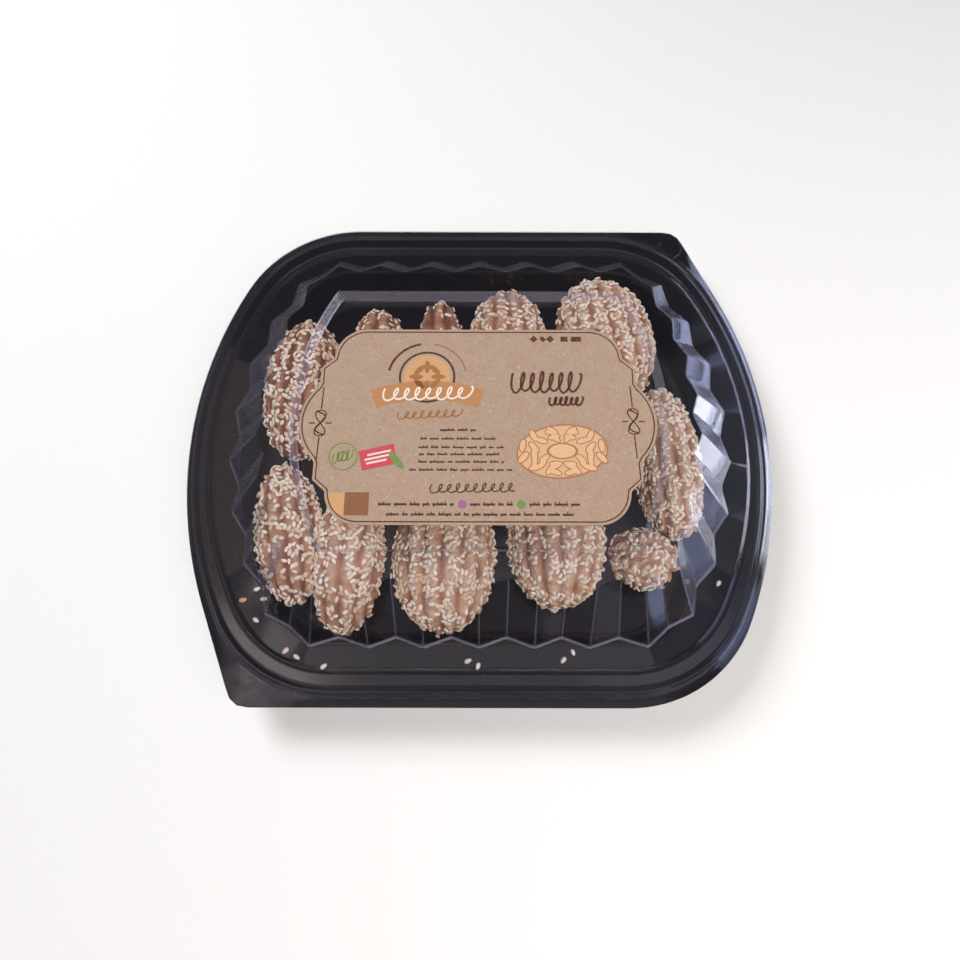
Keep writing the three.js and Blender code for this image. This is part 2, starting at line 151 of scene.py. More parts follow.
@dataclass(frozen=True)
class Ring(PlanCurve):
    """An oval plan curve: straight front and back, round corners, and one long arc across each side."""

    corner: float
    turn: float

    def blend(self, inner: "Ring", share: float) -> "Ring":
        """The curve that lies between this one and another.

        Args:
            inner: the other curve.
            share: how far towards it the new curve lies, from 0 to 1.

        Returns:
            The new curve.
        """
        def mix(name: str) -> float:
            """One size of the curve between."""
            return getattr(self, name) * (1 - share) + getattr(inner, name) * share
        return Ring(mix("half_width"), mix("half_depth"), mix("corner"), mix("turn"))

    def grown(self, size: float) -> "Ring":
        """The curve a size further out, or further in where the size is negative."""
        return Ring(self.half_width + size, self.half_depth + size, self.corner + size, self.turn)

    def quarter(self, station: np.ndarray) -> tuple[np.ndarray, np.ndarray]:
        """Works out the quarter.

        Args:
            station: places from 0, the middle of the back, to 15, the middle of the side.

        Returns:
            Points and outward normals, each with a row for each station.
        """
        turn = math.radians(self.turn)
        drop = self.half_depth - self.corner
        side = self.corner + drop / math.cos(turn)
        straight = self.half_width - self.corner - drop * (1 - math.sin(turn)) / math.cos(turn)
        corner_end = straight + self.corner * turn
        length = corner_end + side * (math.pi / 2 - turn)
        lead = LEAD_STATIONS * PLEAT_PITCH / 2
        rest = (station - LEAD_STATIONS) / (QUARTER_STATIONS - LEAD_STATIONS)
        place = np.where(rest <= 0, lead * station / LEAD_STATIONS, lead + (length - lead) * rest)
        angle = math.pi / 2 - np.clip(place - straight, 0, None) / self.corner
        angle = np.where(place > corner_end, math.pi / 2 - turn - (place - corner_end) / side, angle)
        normal = np.stack([np.cos(angle), np.sin(angle)], axis=1)
        on_corner = np.array([straight, drop]) + self.corner * normal
        on_side = np.array([self.half_width - side, 0]) + side * normal
        on_back = np.stack([place, np.full_like(place, self.half_depth)], axis=1)
        points = np.where((place > corner_end)[:, None], on_side, on_corner)
        return np.where((place <= straight)[:, None], on_back, points), normal

    def folded(self, station: np.ndarray, height: float, fold: float, fillet: float = 0.09) -> np.ndarray:
        """The curve with every second station folded in, straight between the folds and round at each.

        Args:
            station: places round the curve.
            height: height of the loop.
            fold: how far a fold goes in.
            fillet: how far the rounding of a fold reaches, in stations.

        Returns:
            One point for each station.
        """
        whole = np.arange(ALL_STATIONS, dtype=float)
        corners, normals = self.around(whole)
        inward = np.array([fold if Side(int(k) % 2) is Side.IN else 0.0 for k in whole])
        corners = corners - normals * inward[:, None]
        near = np.round(station).astype(int)
        here = corners[near % ALL_STATIONS]
        before = corners[(near - 1) % ALL_STATIONS]
        after = corners[(near + 1) % ALL_STATIONS]
        offset = (station - near)[:, None]
        line = np.where(offset < 0, here + (before - here) * -offset, here + (after - here) * offset)
        share = np.clip((offset + fillet) / (2 * fillet), 0, 1)
        start = here + (before - here) * fillet
        end = here + (after - here) * fillet
        curve = (1 - share) ** 2 * start + 2 * share * (1 - share) * here + share ** 2 * end
        points = np.where(np.abs(offset) < fillet, curve, line)
        return np.column_stack([points, np.full(len(points), height)])


@dataclass(frozen=True)
class PanelCurve(PlanCurve):
    """Plan curve of the sunk panel: a straight front and back, sharp corners and bulging sides."""

    straight: float
    corner_station: int = 7

    def quarter(self, station: np.ndarray) -> tuple[np.ndarray, np.ndarray]:
        """Works out the quarter.

        Args:
            station: places from 0, the middle of the back, to 15, the middle of the side.

        Returns:
            Points and outward normals, each with a row for each station.
        """
        reach = self.half_width - self.straight
        radius = (reach ** 2 + self.half_depth ** 2) / (2 * reach)
        corner_angle = math.asin(self.half_depth / radius)
        rest = (station - self.corner_station) / (QUARTER_STATIONS - self.corner_station)
        angle = corner_angle * (1 - np.clip(rest, 0, 1))
        side = np.stack([self.half_width - radius + radius * np.cos(angle), radius * np.sin(angle)], axis=1)
        across = self.straight * station / self.corner_station
        back = np.stack([across, np.full_like(across, self.half_depth)], axis=1)
        outward = np.stack([np.cos(angle), np.sin(angle)], axis=1)
        on_back = (rest <= 0)[:, None]
        return np.where(on_back, back, side), np.where(on_back, np.array([0.0, 1.0]), outward)


@dataclass(frozen=True)
class PullTab:
    """The corner that the rim runs on to, at the back right and, turned round, at the front left."""

    corner_x: float = 98.2
    radius: float = 8.5
    side_x: float = 116.6
    side_y: float = 70.0
    back_start: float = 58.0

    def extend(self, loop: np.ndarray, normals: np.ndarray, back: float, inset: float) -> np.ndarray:
        """Moves the loop's points out to the tabs' edges.

        Args:
            loop: points of the rim's edge.
            normals: their outward normals in plan.
            back: how far back the rim reaches.
            inset: how far this sheet's edge stays inside the pack's.

        Returns:
            The loop with both tabs.
        """
        out = loop.copy()
        along = np.array([self.side_x - self.corner_x, self.side_y - 113.3])
        outward = np.array([-along[1], along[0]]) / np.hypot(*along)
        reach = outward @ np.array([self.side_x - inset, self.side_y])
        half_turn = (math.pi / 2 - math.atan2(outward[1], outward[0])) / 2
        corner = np.array([(reach - outward[1] * back) / outward[0], back])
        centre = np.array([corner[0] - self.radius * math.tan(half_turn), back - self.radius])
        for row, normal in enumerate(normals):
            sign = 1 if out[row, 0] * out[row, 1] > 0 and out[row, 1] > 0 else -1
            point = out[row, :2] * sign
            ray = normal * sign
            if point[0] <= self.back_start or point[1] <= self.side_y or out[row, 0] * out[row, 1] <= 0:
                continue
            to_back = (back - point[1]) / max(ray[1], 1e-6)
            to_side = (reach - outward @ point) / (outward @ ray)
            point = point + ray * max(0.0, min(to_back, to_side))
            away = point - centre
            beyond = away[0] > 0 and math.atan2(away[1], away[0]) > math.atan2(outward[1], outward[0])
            if beyond:
                point = centre + away * self.radius / np.hypot(*away)
            out[row, :2] = point * sign
        return out


EDGE = Ring(130.0, 113.3, 58.0, 65.0)
GROOVE = Ring(119.5, 99.5, 47.3, 61.5)
PLEAT_FOOT = Ring(109.2, 90.4, 28.7, 56.9)
PLEAT_TOP = Ring(89.6, 70.1, 13.4, 59.8)
CAVITY_TOP = Ring(107.0, 88.6, 27.0, 57.0)
CAVITY_FOOT = Ring(104.8, 86.6, 25.5, 57.0)
PANEL_RIM = PanelCurve(76.4, 56.6, 61.0)
PANEL_FOOT = PanelCurve(74.4, 55.1, 60.0)
TAB = PullTab()


def station_marks(marks: Sequence[float]) -> np.ndarray:
    """Places round a curve that repeat the same marks between every two stations."""
    return np.array([station + mark for station in range(ALL_STATIONS) for mark in marks])


def rounded(loops: list[np.ndarray], radii: Sequence[float], steps: int = 3) -> list[np.ndarray]:
    """Rounds the bends of a profile that is given as loops.

    Args:
        loops: the profile's loops, from the middle outwards.
        radii: how far the rounding of each loop's bend reaches; 0 leaves it sharp.
        steps: loops that take the place of a rounded one.

    Returns:
        The loops of the rounded profile.
    """
    out = [loops[0]]
    for before, here, after, radius in zip(loops, loops[1:], loops[2:], radii):
        if not radius:
            out.append(here)
            continue
        back = before - here
        ahead = after - here
        start = here + back * np.minimum(0.45, radius / np.linalg.norm(back, axis=1))[:, None]
        end = here + ahead * np.minimum(0.45, radius / np.linalg.norm(ahead, axis=1))[:, None]
        for share in np.linspace(0, 1, steps):
            out.append((1 - share) ** 2 * start + 2 * share * (1 - share) * here + share ** 2 * end)
    return out + [loops[-1]]


def mesh_object(name: str, points: np.ndarray, faces: Sequence[Sequence[int]], smooth: bool = True,
                edges: Sequence[tuple[int, int]] = ()) -> bpy.types.Object:
    """Makes an object from points and what joins them.

    Args:
        name: the object's name.
        points: in millimetres.
        faces: rows of point numbers.
        smooth: True shades the faces as one round surface.
        edges: pairs of point numbers, for a path without faces.

    Returns:
        The new object, at the origin.
    """
    mesh = bpy.data.meshes.new(name)
    mesh.from_pydata((np.asarray(points, float) * MM).tolist(), list(edges), [list(face) for face in faces])
    mesh.polygons.foreach_set("use_smooth", [smooth] * len(mesh.polygons))
    mesh.update()
    piece = bpy.data.objects.new(name, mesh)
    bpy.context.scene.collection.objects.link(piece)
    return piece


def node_group(name: str, kinds: dict[str, str]) -> tuple[bpy.types.NodeTree, dict[str, str], Any]:
    """Starts a Geometry Nodes tree that takes a mesh and named settings.

    Args:
        name: the tree's name.
        kinds: the kind of socket of each named setting, such as Float.

    Returns:
        The tree, the identifier of each setting's socket, and the tree's inputs by name.
    """
    tree = bpy.data.node_groups.new(name, "GeometryNodeTree")
    tree.is_modifier = True
    tree.interface.new_socket("Geometry", in_out="INPUT", socket_type="NodeSocketGeometry")
    identifiers = {}
    for key, kind in kinds.items():
        socket = tree.interface.new_socket(key, in_out="INPUT", socket_type="NodeSocket" + kind)
        identifiers[key] = socket.identifier
    tree.interface.new_socket("Geometry", in_out="OUTPUT", socket_type="NodeSocketGeometry")
    return tree, identifiers, add_node(tree, "NodeGroupInput").outputs


def close_group(tree: bpy.types.NodeTree, geometry: bpy.types.NodeSocket, material: bpy.types.Material) -> None:
    """Ends a tree: makes instances real, gives all of it one material and hands it out.

    Args:
        tree: the tree.
        geometry: what the tree has made.
        material: its finish.
    """
    real = add_node(tree, "GeometryNodeRealizeInstances", {0: geometry})
    dressed = add_node(tree, "GeometryNodeSetMaterial", {0: real.outputs[0], "Material": material})
    add_node(tree, "NodeGroupOutput", {0: dressed.outputs[0]})


def run_group(piece: bpy.types.Object, name: str, tree: bpy.types.NodeTree, identifiers: dict[str, str],
              settings: dict[str, Any]) -> None:
    """Puts a tree on a piece and sets its inputs by their identifiers.

    Args:
        piece: the piece.
        name: the modifier's name.
        tree: the tree.
        identifiers: the identifier of each setting's socket.
        settings: the value of each setting.
    """
    modifier = piece.modifiers.new(name, "NODES")
    modifier.node_group = tree
    for key, setting in settings.items():
        modifier[identifiers[key]] = setting


def skin(loops: list[np.ndarray]) -> tuple[np.ndarray, list[tuple[int, ...]]]:
    """Points and faces of the sheet that runs through loops from the middle outwards; its faces look up.

    Args:
        loops: loops of equal length. The first may be a single point.

    Returns:
        The points, and the faces as rows of point numbers.
    """
    starts = np.cumsum([0] + [len(loop) for loop in loops])
    faces = []
    for row in range(len(loops) - 1):
        inner, outer, count = starts[row], starts[row + 1], len(loops[row + 1])
        for k in range(count):
            after = (k + 1) % count
            if len(loops[row]) == 1:
                faces.append((inner, outer + after, outer + k))
            else:
                faces.append((inner + k, inner + after, outer + after, outer + k))
    return np.vstack(loops), faces


def plain_mesh(piece: bpy.types.Object) -> bpy.types.Object:
    """Turns a piece's live modifiers into its own mesh and removes them.

    Args:
        piece: the piece.

    Returns:
        The same piece.
    """
    seen = piece.evaluated_get(bpy.context.evaluated_depsgraph_get())
    mesh = bpy.data.meshes.new_from_object(seen)
    piece.modifiers.clear()
    piece.data = mesh
    mesh.name = piece.name
    return piece


def sheet_of(name: str, loops: list[np.ndarray], wall: float) -> bpy.types.Object:
    """A formed sheet: its upper face runs through the loops, and its wall lies under that face.

    Args:
        name: the piece's name.
        loops: the upper face's loops, from the middle outwards.
        wall: how thick the sheet is.

    Returns:
        The sheet as a plain mesh.
    """
    piece = mesh_object(name, *skin(loops))
    solid = piece.modifiers.new("wall", "SOLIDIFY")
    solid.thickness = wall * MM
    solid.offset = -1
    solid.use_even_offset = True
    solid.use_quality_normals = True
    even = piece.modifiers.new("flat_facets", "WEIGHTED_NORMAL")
    even.weight = 60
    even.keep_sharp = True
    return plain_mesh(piece)


def dress(piece: bpy.types.Object, material: bpy.types.Material, slot: str, *nodes: str) -> bpy.types.Object:
    """Gives a piece its finish, lets it ride on the pack, and hides the nodes that it stands for.

    Args:
        piece: the piece, as a plain mesh.
        material: its finish.
        slot: the part's material slot; not used.
        nodes: the part's nodes that it replaces.

    Returns:
        The same piece.
    """
    piece.data.materials.clear()
    piece.data.materials.append(material)
    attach(piece, BODY)
    if nodes:
        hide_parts(*nodes)
    triangles = sum(len(face.vertices) - 2 for face in piece.data.polygons)
    log.info("%s: %d triangles", piece.name, triangles)
    return piece


@dataclass(frozen=True)
class Finish:
    """What every finish shares: its name and the way its material starts."""

    name: str

    def start(self) -> tuple[bpy.types.Material, bpy.types.NodeTree, bpy.types.Node]:
        """Starts the material.

        Returns:
            The material with only its output node, its tree and that node.
        """
        material = bpy.data.materials.new(self.name)
        material.use_nodes = True
        tree = material.node_tree
        tree.nodes.clear()
        return material, tree, add_node(tree, "ShaderNodeOutputMaterial")


@dataclass(frozen=True)
class BlackPolystyrene(Finish):
    """Thermoformed black polystyrene: deep gloss, a faint orange peel and a few specks of dust.

    Ripple and speck are the spacings of the peel and of the places where dust may lie, in millimetres.
    """

    name: str = "black_polystyrene_thermoformed"
    base: str = "#141214"
    dust: str = "#8c8580"
    ripple: float = 11.0
    speck: float = 2.4
    speck_size: float = 0.07
    speck_free: float = 0.93
    peel_depth: float = 0.1
    smooth: float = 0.12
    dull: float = 0.22

    def material(self) -> bpy.types.Material:
        """Builds the material.

        Returns:
            The material.
        """
        material, tree, out = self.start()
        place = add_node(tree, "ShaderNodeTexCoord").outputs["Object"]
        peel = add_node(tree, "ShaderNodeTexNoise", {"Vector": place, "Scale": 1 / (self.ripple * MM), "Detail": 2.0})
        bump = add_node(tree, "ShaderNodeBump", {
            "Height": peel.outputs["Fac"], "Strength": 0.3, "Distance": self.peel_depth * MM,
        })
        cells = add_node(tree, "ShaderNodeTexVoronoi", {"Vector": place, "Scale": 1 / (self.speck * MM)})
        small = add_node(tree, "ShaderNodeMath", {
            0: cells.outputs["Distance"], 1: self.speck_size,
        }, operation="LESS_THAN")
        tone = add_node(tree, "ShaderNodeSeparateColor", {"Color": cells.outputs["Color"]})
        rare = add_node(tree, "ShaderNodeMath", {
            0: tone.outputs["Red"], 1: self.speck_free,
        }, operation="GREATER_THAN")
        dust = add_node(tree, "ShaderNodeMath", {0: small.outputs[0], 1: rare.outputs[0]}, operation="MULTIPLY")
        colour = add_node(tree, "ShaderNodeMix", {
            0: dust.outputs[0], 6: linear(self.base), 7: linear(self.dust),
        }, data_type="RGBA")
        rough = add_node(tree, "ShaderNodeMapRange", {
            "Value": peel.outputs["Fac"], "To Min": self.smooth, "To Max": self.dull,
        })
        shader = add_node(tree, "ShaderNodeBsdfPrincipled", {
            "Base Color": colour.outputs[2], "Roughness": rough.outputs[0], "IOR": 1.57,
            "Normal": bump.outputs["Normal"],
        })
        tree.links.new(shader.outputs[0], out.inputs["Surface"])
        return material


@dataclass(frozen=True)
class ClearPet(Finish):
    """Thermoformed clear PET: see-through, with gloss that grows with the angle, haze that grows with it and is
    partly a painted highlight on steep walls, and painted highlights on folds and steps.

    The gloss is what a sheet with an IOR of about 1.55 mirrors when it is seen straight on. The ripple is the
    spacing of the soft waves that forming leaves, in millimetres.
    """

    name: str = "clear_pet_thermoformed"
    tint: str = "#f8f8fc"
    # Tint of the haze, and of the painted highlights on folds, steps and steep walls.
    haze_and_highlight_tint: str = "#b6b4ca"
    haze_share: float = 0.004
    # Haze at the slant, made strong enough to be partly a painted highlight on steep walls.
    edge_haze_and_highlight: float = 0.25
    gloss: float = 0.045
    gloss_power: float = 5.0
    edge_power: float = 6.0
    roughness: float = 0.1
    ripple: float = 18.0
    ripple_depth: float = 0.2

    def material(self) -> bpy.types.Material:
        """Builds the material.

        Returns:
            The material.
        """
        material, tree, out = self.start()
        place = add_node(tree, "ShaderNodeTexCoord").outputs["Object"]
        flow = add_node(tree, "ShaderNodeTexNoise", {"Vector": place, "Scale": 1 / (self.ripple * MM), "Detail": 0.0})
        bump = add_node(tree, "ShaderNodeBump", {"Height": flow.outputs["Fac"], "Strength": 0.2,
                                              "Distance": self.ripple_depth * MM})
        facing = add_node(tree, "ShaderNodeLayerWeight", {"Blend": 0.5, "Normal": bump.outputs["Normal"]})
        steep = add_node(tree, "ShaderNodeMath", {
            0: facing.outputs["Facing"], 1: self.gloss_power,
        }, operation="POWER")
        mirror = add_node(tree, "ShaderNodeMath", {0: steep.outputs[0], 1: 1 - self.gloss, 2: self.gloss},
                          operation="MULTIPLY_ADD")
        through = add_node(tree, "ShaderNodeBsdfTransparent", {"Color": linear(self.tint)})
        # A pale diffuse layer: the sheet's haze, with the painted highlights mixed in below.
        haze_and_highlight_shader = add_node(tree, "ShaderNodeBsdfDiffuse", {"Color": linear(self.haze_and_highlight_tint)})
        # Haze that grows towards the slant: partly the sheet's own haze, partly a painted highlight that makes steep
        # walls look pale.
        edge = add_node(tree, "ShaderNodeMath", {
            0: facing.outputs["Facing"], 1: self.edge_power,
        }, operation="POWER")
        share = add_node(tree, "ShaderNodeMath", {0: edge.outputs[0], 1: self.edge_haze_and_highlight, 2: self.haze_share},
                         operation="MULTIPLY_ADD")
        # Painted highlight: the mesh marks the recess walls, the step at the pleats' foot and the folds, and paints
        # them paler.
        painted_highlight = add_node(tree, "ShaderNodeAttribute", attribute_name="painted_highlight")
        share = add_node(tree, "ShaderNodeMath", {0: share.outputs[0], 1: painted_highlight.outputs["Fac"]}, operation="ADD")
        body = add_node(tree, "ShaderNodeMixShader", {
            0: share.outputs[0], 1: through.outputs[0], 2: haze_and_highlight_shader.outputs[0],
        })
        gloss = add_node(tree, "ShaderNodeBsdfAnisotropic", {
            "Color": linear("#ffffff"), "Roughness": self.roughness, "Normal": bump.outputs["Normal"],
        })
        whole = add_node(tree, "ShaderNodeMixShader", {
            0: mirror.outputs[0], 1: body.outputs[0], 2: gloss.outputs[0],
        })
        tree.links.new(whole.outputs[0], out.inputs["Surface"])
        return material


@dataclass(frozen=True)
class KraftPaper(Finish):
    """Uncoated kraft paper: pinkish tan, matt, cloudy, with fine grain and dark and light flecks.

    Patch, fleck and grain are spacings in millimetres. Real grain is about 0.2 mm, and it is drawn coarser here so
    that it shows. The flecks' rows hold a colour, how far a fleck is drawn out, the share of places without one,
    and how strong the strongest is.
    """

    name: str = "kraft_paper_uncoated"
    base: str = "#b8a293"
    cloud: str = "#a1866f"
    fibre: str = "#7c5641"
    pale: str = "#dcc6b2"
    patch: float = 6.0
    patch_share: float = 0.5
    fleck: float = 1.5
    grain: float = 0.55
    grain_depth: float = 0.2

    def material(self) -> bpy.types.Material:
        """Builds the material.

        Returns:
            The material.
        """
        material, tree, out = self.start()
        place = add_node(tree, "ShaderNodeTexCoord").outputs["Object"]
        clouds = add_node(tree, "ShaderNodeTexNoise", {"Vector": place, "Scale": 1 / (self.patch * MM), "Detail": 3.0})
        grain = add_node(tree, "ShaderNodeTexNoise", {
            "Vector": place, "Scale": 1 / (self.grain * MM), "Detail": 4.0,
        })
        mottle = add_node(tree, "ShaderNodeMath", {0: grain.outputs["Fac"], 1: 1.7, 2: -0.6}, operation="MULTIPLY_ADD")
        share = add_node(tree, "ShaderNodeMath", {
            0: clouds.outputs["Fac"], 1: self.patch_share, 2: mottle.outputs[0],
        }, operation="MULTIPLY_ADD", use_clamp=True)
        colour = add_node(tree, "ShaderNodeMix", {
            0: share.outputs[0], 6: linear(self.base), 7: linear(self.cloud),
        }, data_type="RGBA").outputs[2]
        for shade, stretch, rare, strength in ((self.fibre, 2.2, 0.5, 0.9), (self.pale, 0.5, 0.6, 0.7)):
            drawn = add_node(tree, "ShaderNodeMapping", {"Vector": place, "Scale": (1.0, stretch, 1.0)})
            cells = add_node(tree, "ShaderNodeTexVoronoi", {
                "Vector": drawn.outputs[0], "Scale": 1 / (self.fleck * MM), "Randomness": 1.0,
            })
            small = add_node(tree, "ShaderNodeMapRange", {
                "Value": cells.outputs["Distance"], "From Min": 0.12, "From Max": 0.22, "To Min": 1.0, "To Max": 0.0,
            })
            tone = add_node(tree, "ShaderNodeSeparateColor", {"Color": cells.outputs["Color"]})
            chosen = add_node(tree, "ShaderNodeMapRange", {
                "Value": tone.outputs["Red"], "From Min": rare, "From Max": 1.0, "To Max": strength,
            })
            fleck = add_node(tree, "ShaderNodeMath", {0: small.outputs[0], 1: chosen.outputs[0]}, operation="MULTIPLY")
            colour = add_node(tree, "ShaderNodeMix", {
                0: fleck.outputs[0], 6: colour, 7: linear(shade),
            }, data_type="RGBA").outputs[2]
        bump = add_node(tree, "ShaderNodeBump", {
            "Height": grain.outputs["Fac"], "Strength": 0.3, "Distance": self.grain_depth * MM,
        })
        shader = add_node(tree, "ShaderNodeBsdfPrincipled", {
            "Base Color": colour, "Roughness": 0.85, "Specular IOR Level": 0.2, "Normal": bump.outputs["Normal"],
        })
        tree.links.new(shader.outputs[0], out.inputs["Surface"])
        return material


@dataclass(frozen=True)
class PrintInk(Finish):
    """Offset ink on kraft paper: matt, with the paper's grain breaking it up a little.

    The grain is as coarse as the paper's, so that it shows.
    """

    name: str = "offset_ink_on_kraft"
    paper: str = "#ab927f"
    grain: float = 0.5

    def material(self) -> bpy.types.Material:
        """Builds the material; each shape's colour is stored on its faces.

        Returns:
            The material.
        """
        material, tree, out = self.start()
        place = add_node(tree, "ShaderNodeTexCoord").outputs["Object"]
        ink = add_node(tree, "ShaderNodeAttribute", attribute_name="ink")
        grain = add_node(tree, "ShaderNodeTexNoise", {
            "Vector": place, "Scale": 1 / (self.grain * MM), "Detail": 4.0,
        })
        worn = add_node(tree, "ShaderNodeMapRange", {
            "Value": grain.outputs["Fac"], "From Min": 0.4, "From Max": 0.8, "To Min": 0.03, "To Max": 0.4,
        })
        colour = add_node(tree, "ShaderNodeMix", {
            0: worn.outputs[0], 6: ink.outputs["Color"], 7: linear(self.paper),
        }, data_type="RGBA")
        shader = add_node(tree, "ShaderNodeBsdfPrincipled", {
            "Base Color": colour.outputs[2], "Roughness": 0.8, "Specular IOR Level": 0.2,
        })
        tree.links.new(shader.outputs[0], out.inputs["Surface"])
        return material


@dataclass(frozen=True)
class BakedCrust(Finish):
    """Baked short pastry: pale tan on the crests, browner in the valleys and lower on the flanks, and darker where a
    pastry carries painted shade; fine open crumb.

    Crumb and cloud are spacings in millimetres.
    """

    name: str = "baked_shortcrust"
    pale: str = "#cfad92"
    tan: str = "#b18468"
    brown: str = "#7d4f3b"
    crumb: float = 1.1
    crumb_depth: float = 0.7
    cloud: float = 8.0
    cloud_swing: float = 0.25

    def material(self) -> bpy.types.Material:
        """Builds the material; the mesh stores how dark each place is coloured, painted shade included.

        Returns:
            The material.
        """
        material, tree, out = self.start()
        place = add_node(tree, "ShaderNodeTexCoord").outputs["Object"]
        # The stored darkness is higher in the valleys and lower down, and includes each pastry's painted shade.
        darkness_and_shade = add_node(tree, "ShaderNodeAttribute", attribute_name="darkness_and_shade")
        cloud = add_node(tree, "ShaderNodeTexNoise", {"Vector": place, "Scale": 1 / (self.cloud * MM), "Detail": 5.0})
        shift = add_node(tree, "ShaderNodeMapRange", {
            "Value": cloud.outputs["Fac"], "From Min": 0.3, "From Max": 0.7,
            "To Min": -self.cloud_swing, "To Max": self.cloud_swing,
        })
        level = add_node(tree, "ShaderNodeMath", {0: darkness_and_shade.outputs["Fac"], 1: shift.outputs[0]}, operation="ADD")
        ramp = add_node(tree, "ShaderNodeValToRGB", {"Fac": level.outputs[0]})
        ramp.color_ramp.elements[0].color = linear(self.pale)
        ramp.color_ramp.elements[1].color = linear(self.brown)
        middle = ramp.color_ramp.elements.new(0.5)
        middle.color = linear(self.tan)
        crumb = add_node(tree, "ShaderNodeTexNoise", {"Vector": place, "Scale": 1 / (self.crumb * MM), "Detail": 6.0})
        bump = add_node(tree, "ShaderNodeBump", {
            "Height": crumb.outputs["Fac"], "Strength": 0.8, "Distance": self.crumb_depth * MM,
        })
        shader = add_node(tree, "ShaderNodeBsdfPrincipled", {
            "Base Color": ramp.outputs["Color"], "Roughness": 0.7, "Specular IOR Level": 0.3,
            "Normal": bump.outputs["Normal"],
        })
        tree.links.new(shader.outputs[0], out.inputs["Surface"])
        return material


@dataclass(frozen=True)
class HulledSesame(Finish):
    """Hulled sesame seed, lightly toasted: cream to tan, with a soft oily sheen."""

    name: str = "hulled_sesame_toasted"
    cream: str = "#f7eedd"
    toasted: str = "#d0b08c"
    tone_power: float = 2.4

    def material(self) -> bpy.types.Material:
        """Builds the material; the mesh stores each seed's own tone.

        Returns:
            The material.
        """
        material, tree, out = self.start()
        tone = add_node(tree, "ShaderNodeAttribute", attribute_name="tone")
        share = add_node(tree, "ShaderNodeMath", {0: tone.outputs["Fac"], 1: self.tone_power}, operation="POWER")
        colour = add_node(tree, "ShaderNodeMix", {
            0: share.outputs[0], 6: linear(self.cream), 7: linear(self.toasted),
        }, data_type="RGBA")
        shader = add_node(tree, "ShaderNodeBsdfPrincipled", {"Base Color": colour.outputs[2], "Roughness": 0.45})
        tree.links.new(shader.outputs[0], out.inputs["Surface"])
        return material


@dataclass(frozen=True)
class PaleFloor(Finish):
    """Plain pale studio floor."""

    name: str = "pale_studio_floor"
    base: str = "#f3f3f3"

    def material(self) -> bpy.types.Material:
        """Builds the material.

        Returns:
            The material.
        """
        material, tree, out = self.start()
        shader = add_node(tree, "ShaderNodeBsdfPrincipled", {"Base Color": linear(self.base), "Roughness": 0.9})
        tree.links.new(shader.outputs[0], out.inputs["Surface"])
        return material


@dataclass
class Tray:
    """The black tray: floor, sloping wall, ledge, low rail, flange and two pull tabs.

    The ledge's start is a share of the way from the groove to the cavity, and the rail's edges and the flange's are
    shares of the way from the pack's edge to the groove. The radii round the bends from the floor outwards.
    """

    wall: float = 0.9
    bevel: float = 3.0
    ledge_height: float = 22.4
    rail_height: float = 23.4
    rim_height: float = 21.2
    ledge_start: float = 0.12
    rail_inner: float = 0.95
    rail_outer: float = 0.5
    flange: float = 0.38
    radii: tuple[float, ...] = (2.0, 2.0, 1.2, 0.5, 0.5, 0.8, 0.8)
    marks: tuple[float, ...] = (0.0, 0.25, 0.5, 0.75)

    def build(self, material: bpy.types.Material) -> bpy.types.Object:
        """Builds the tray's sheet and dresses it.

        Args:
            material: the tray's finish.

        Returns:
            The sheet.
        """
        station = station_marks(self.marks)
        edge = EDGE.loop(station, self.rim_height)
        normals = EDGE.around(station)[1]
        loops = [
            np.array([[0.0, 0.0, self.wall]]),
            CAVITY_FOOT.grown(-self.bevel).loop(station, self.wall),
            CAVITY_FOOT.loop(station, self.wall + self.bevel),
            CAVITY_TOP.loop(station, self.ledge_height),
            GROOVE.blend(CAVITY_TOP, self.ledge_start).loop(station, self.ledge_height),
            EDGE.blend(GROOVE, self.rail_inner).loop(station, self.rail_height),
            EDGE.blend(GROOVE, self.rail_outer).loop(station, self.rail_height),
            EDGE.blend(GROOVE, self.flange).loop(station, self.rim_height),
            TAB.extend(edge, normals, EDGE.half_depth, 0.0),
        ]
        return dress(sheet_of("tray_sheet", rounded(loops, self.radii), self.wall), material, "tray", "tray")


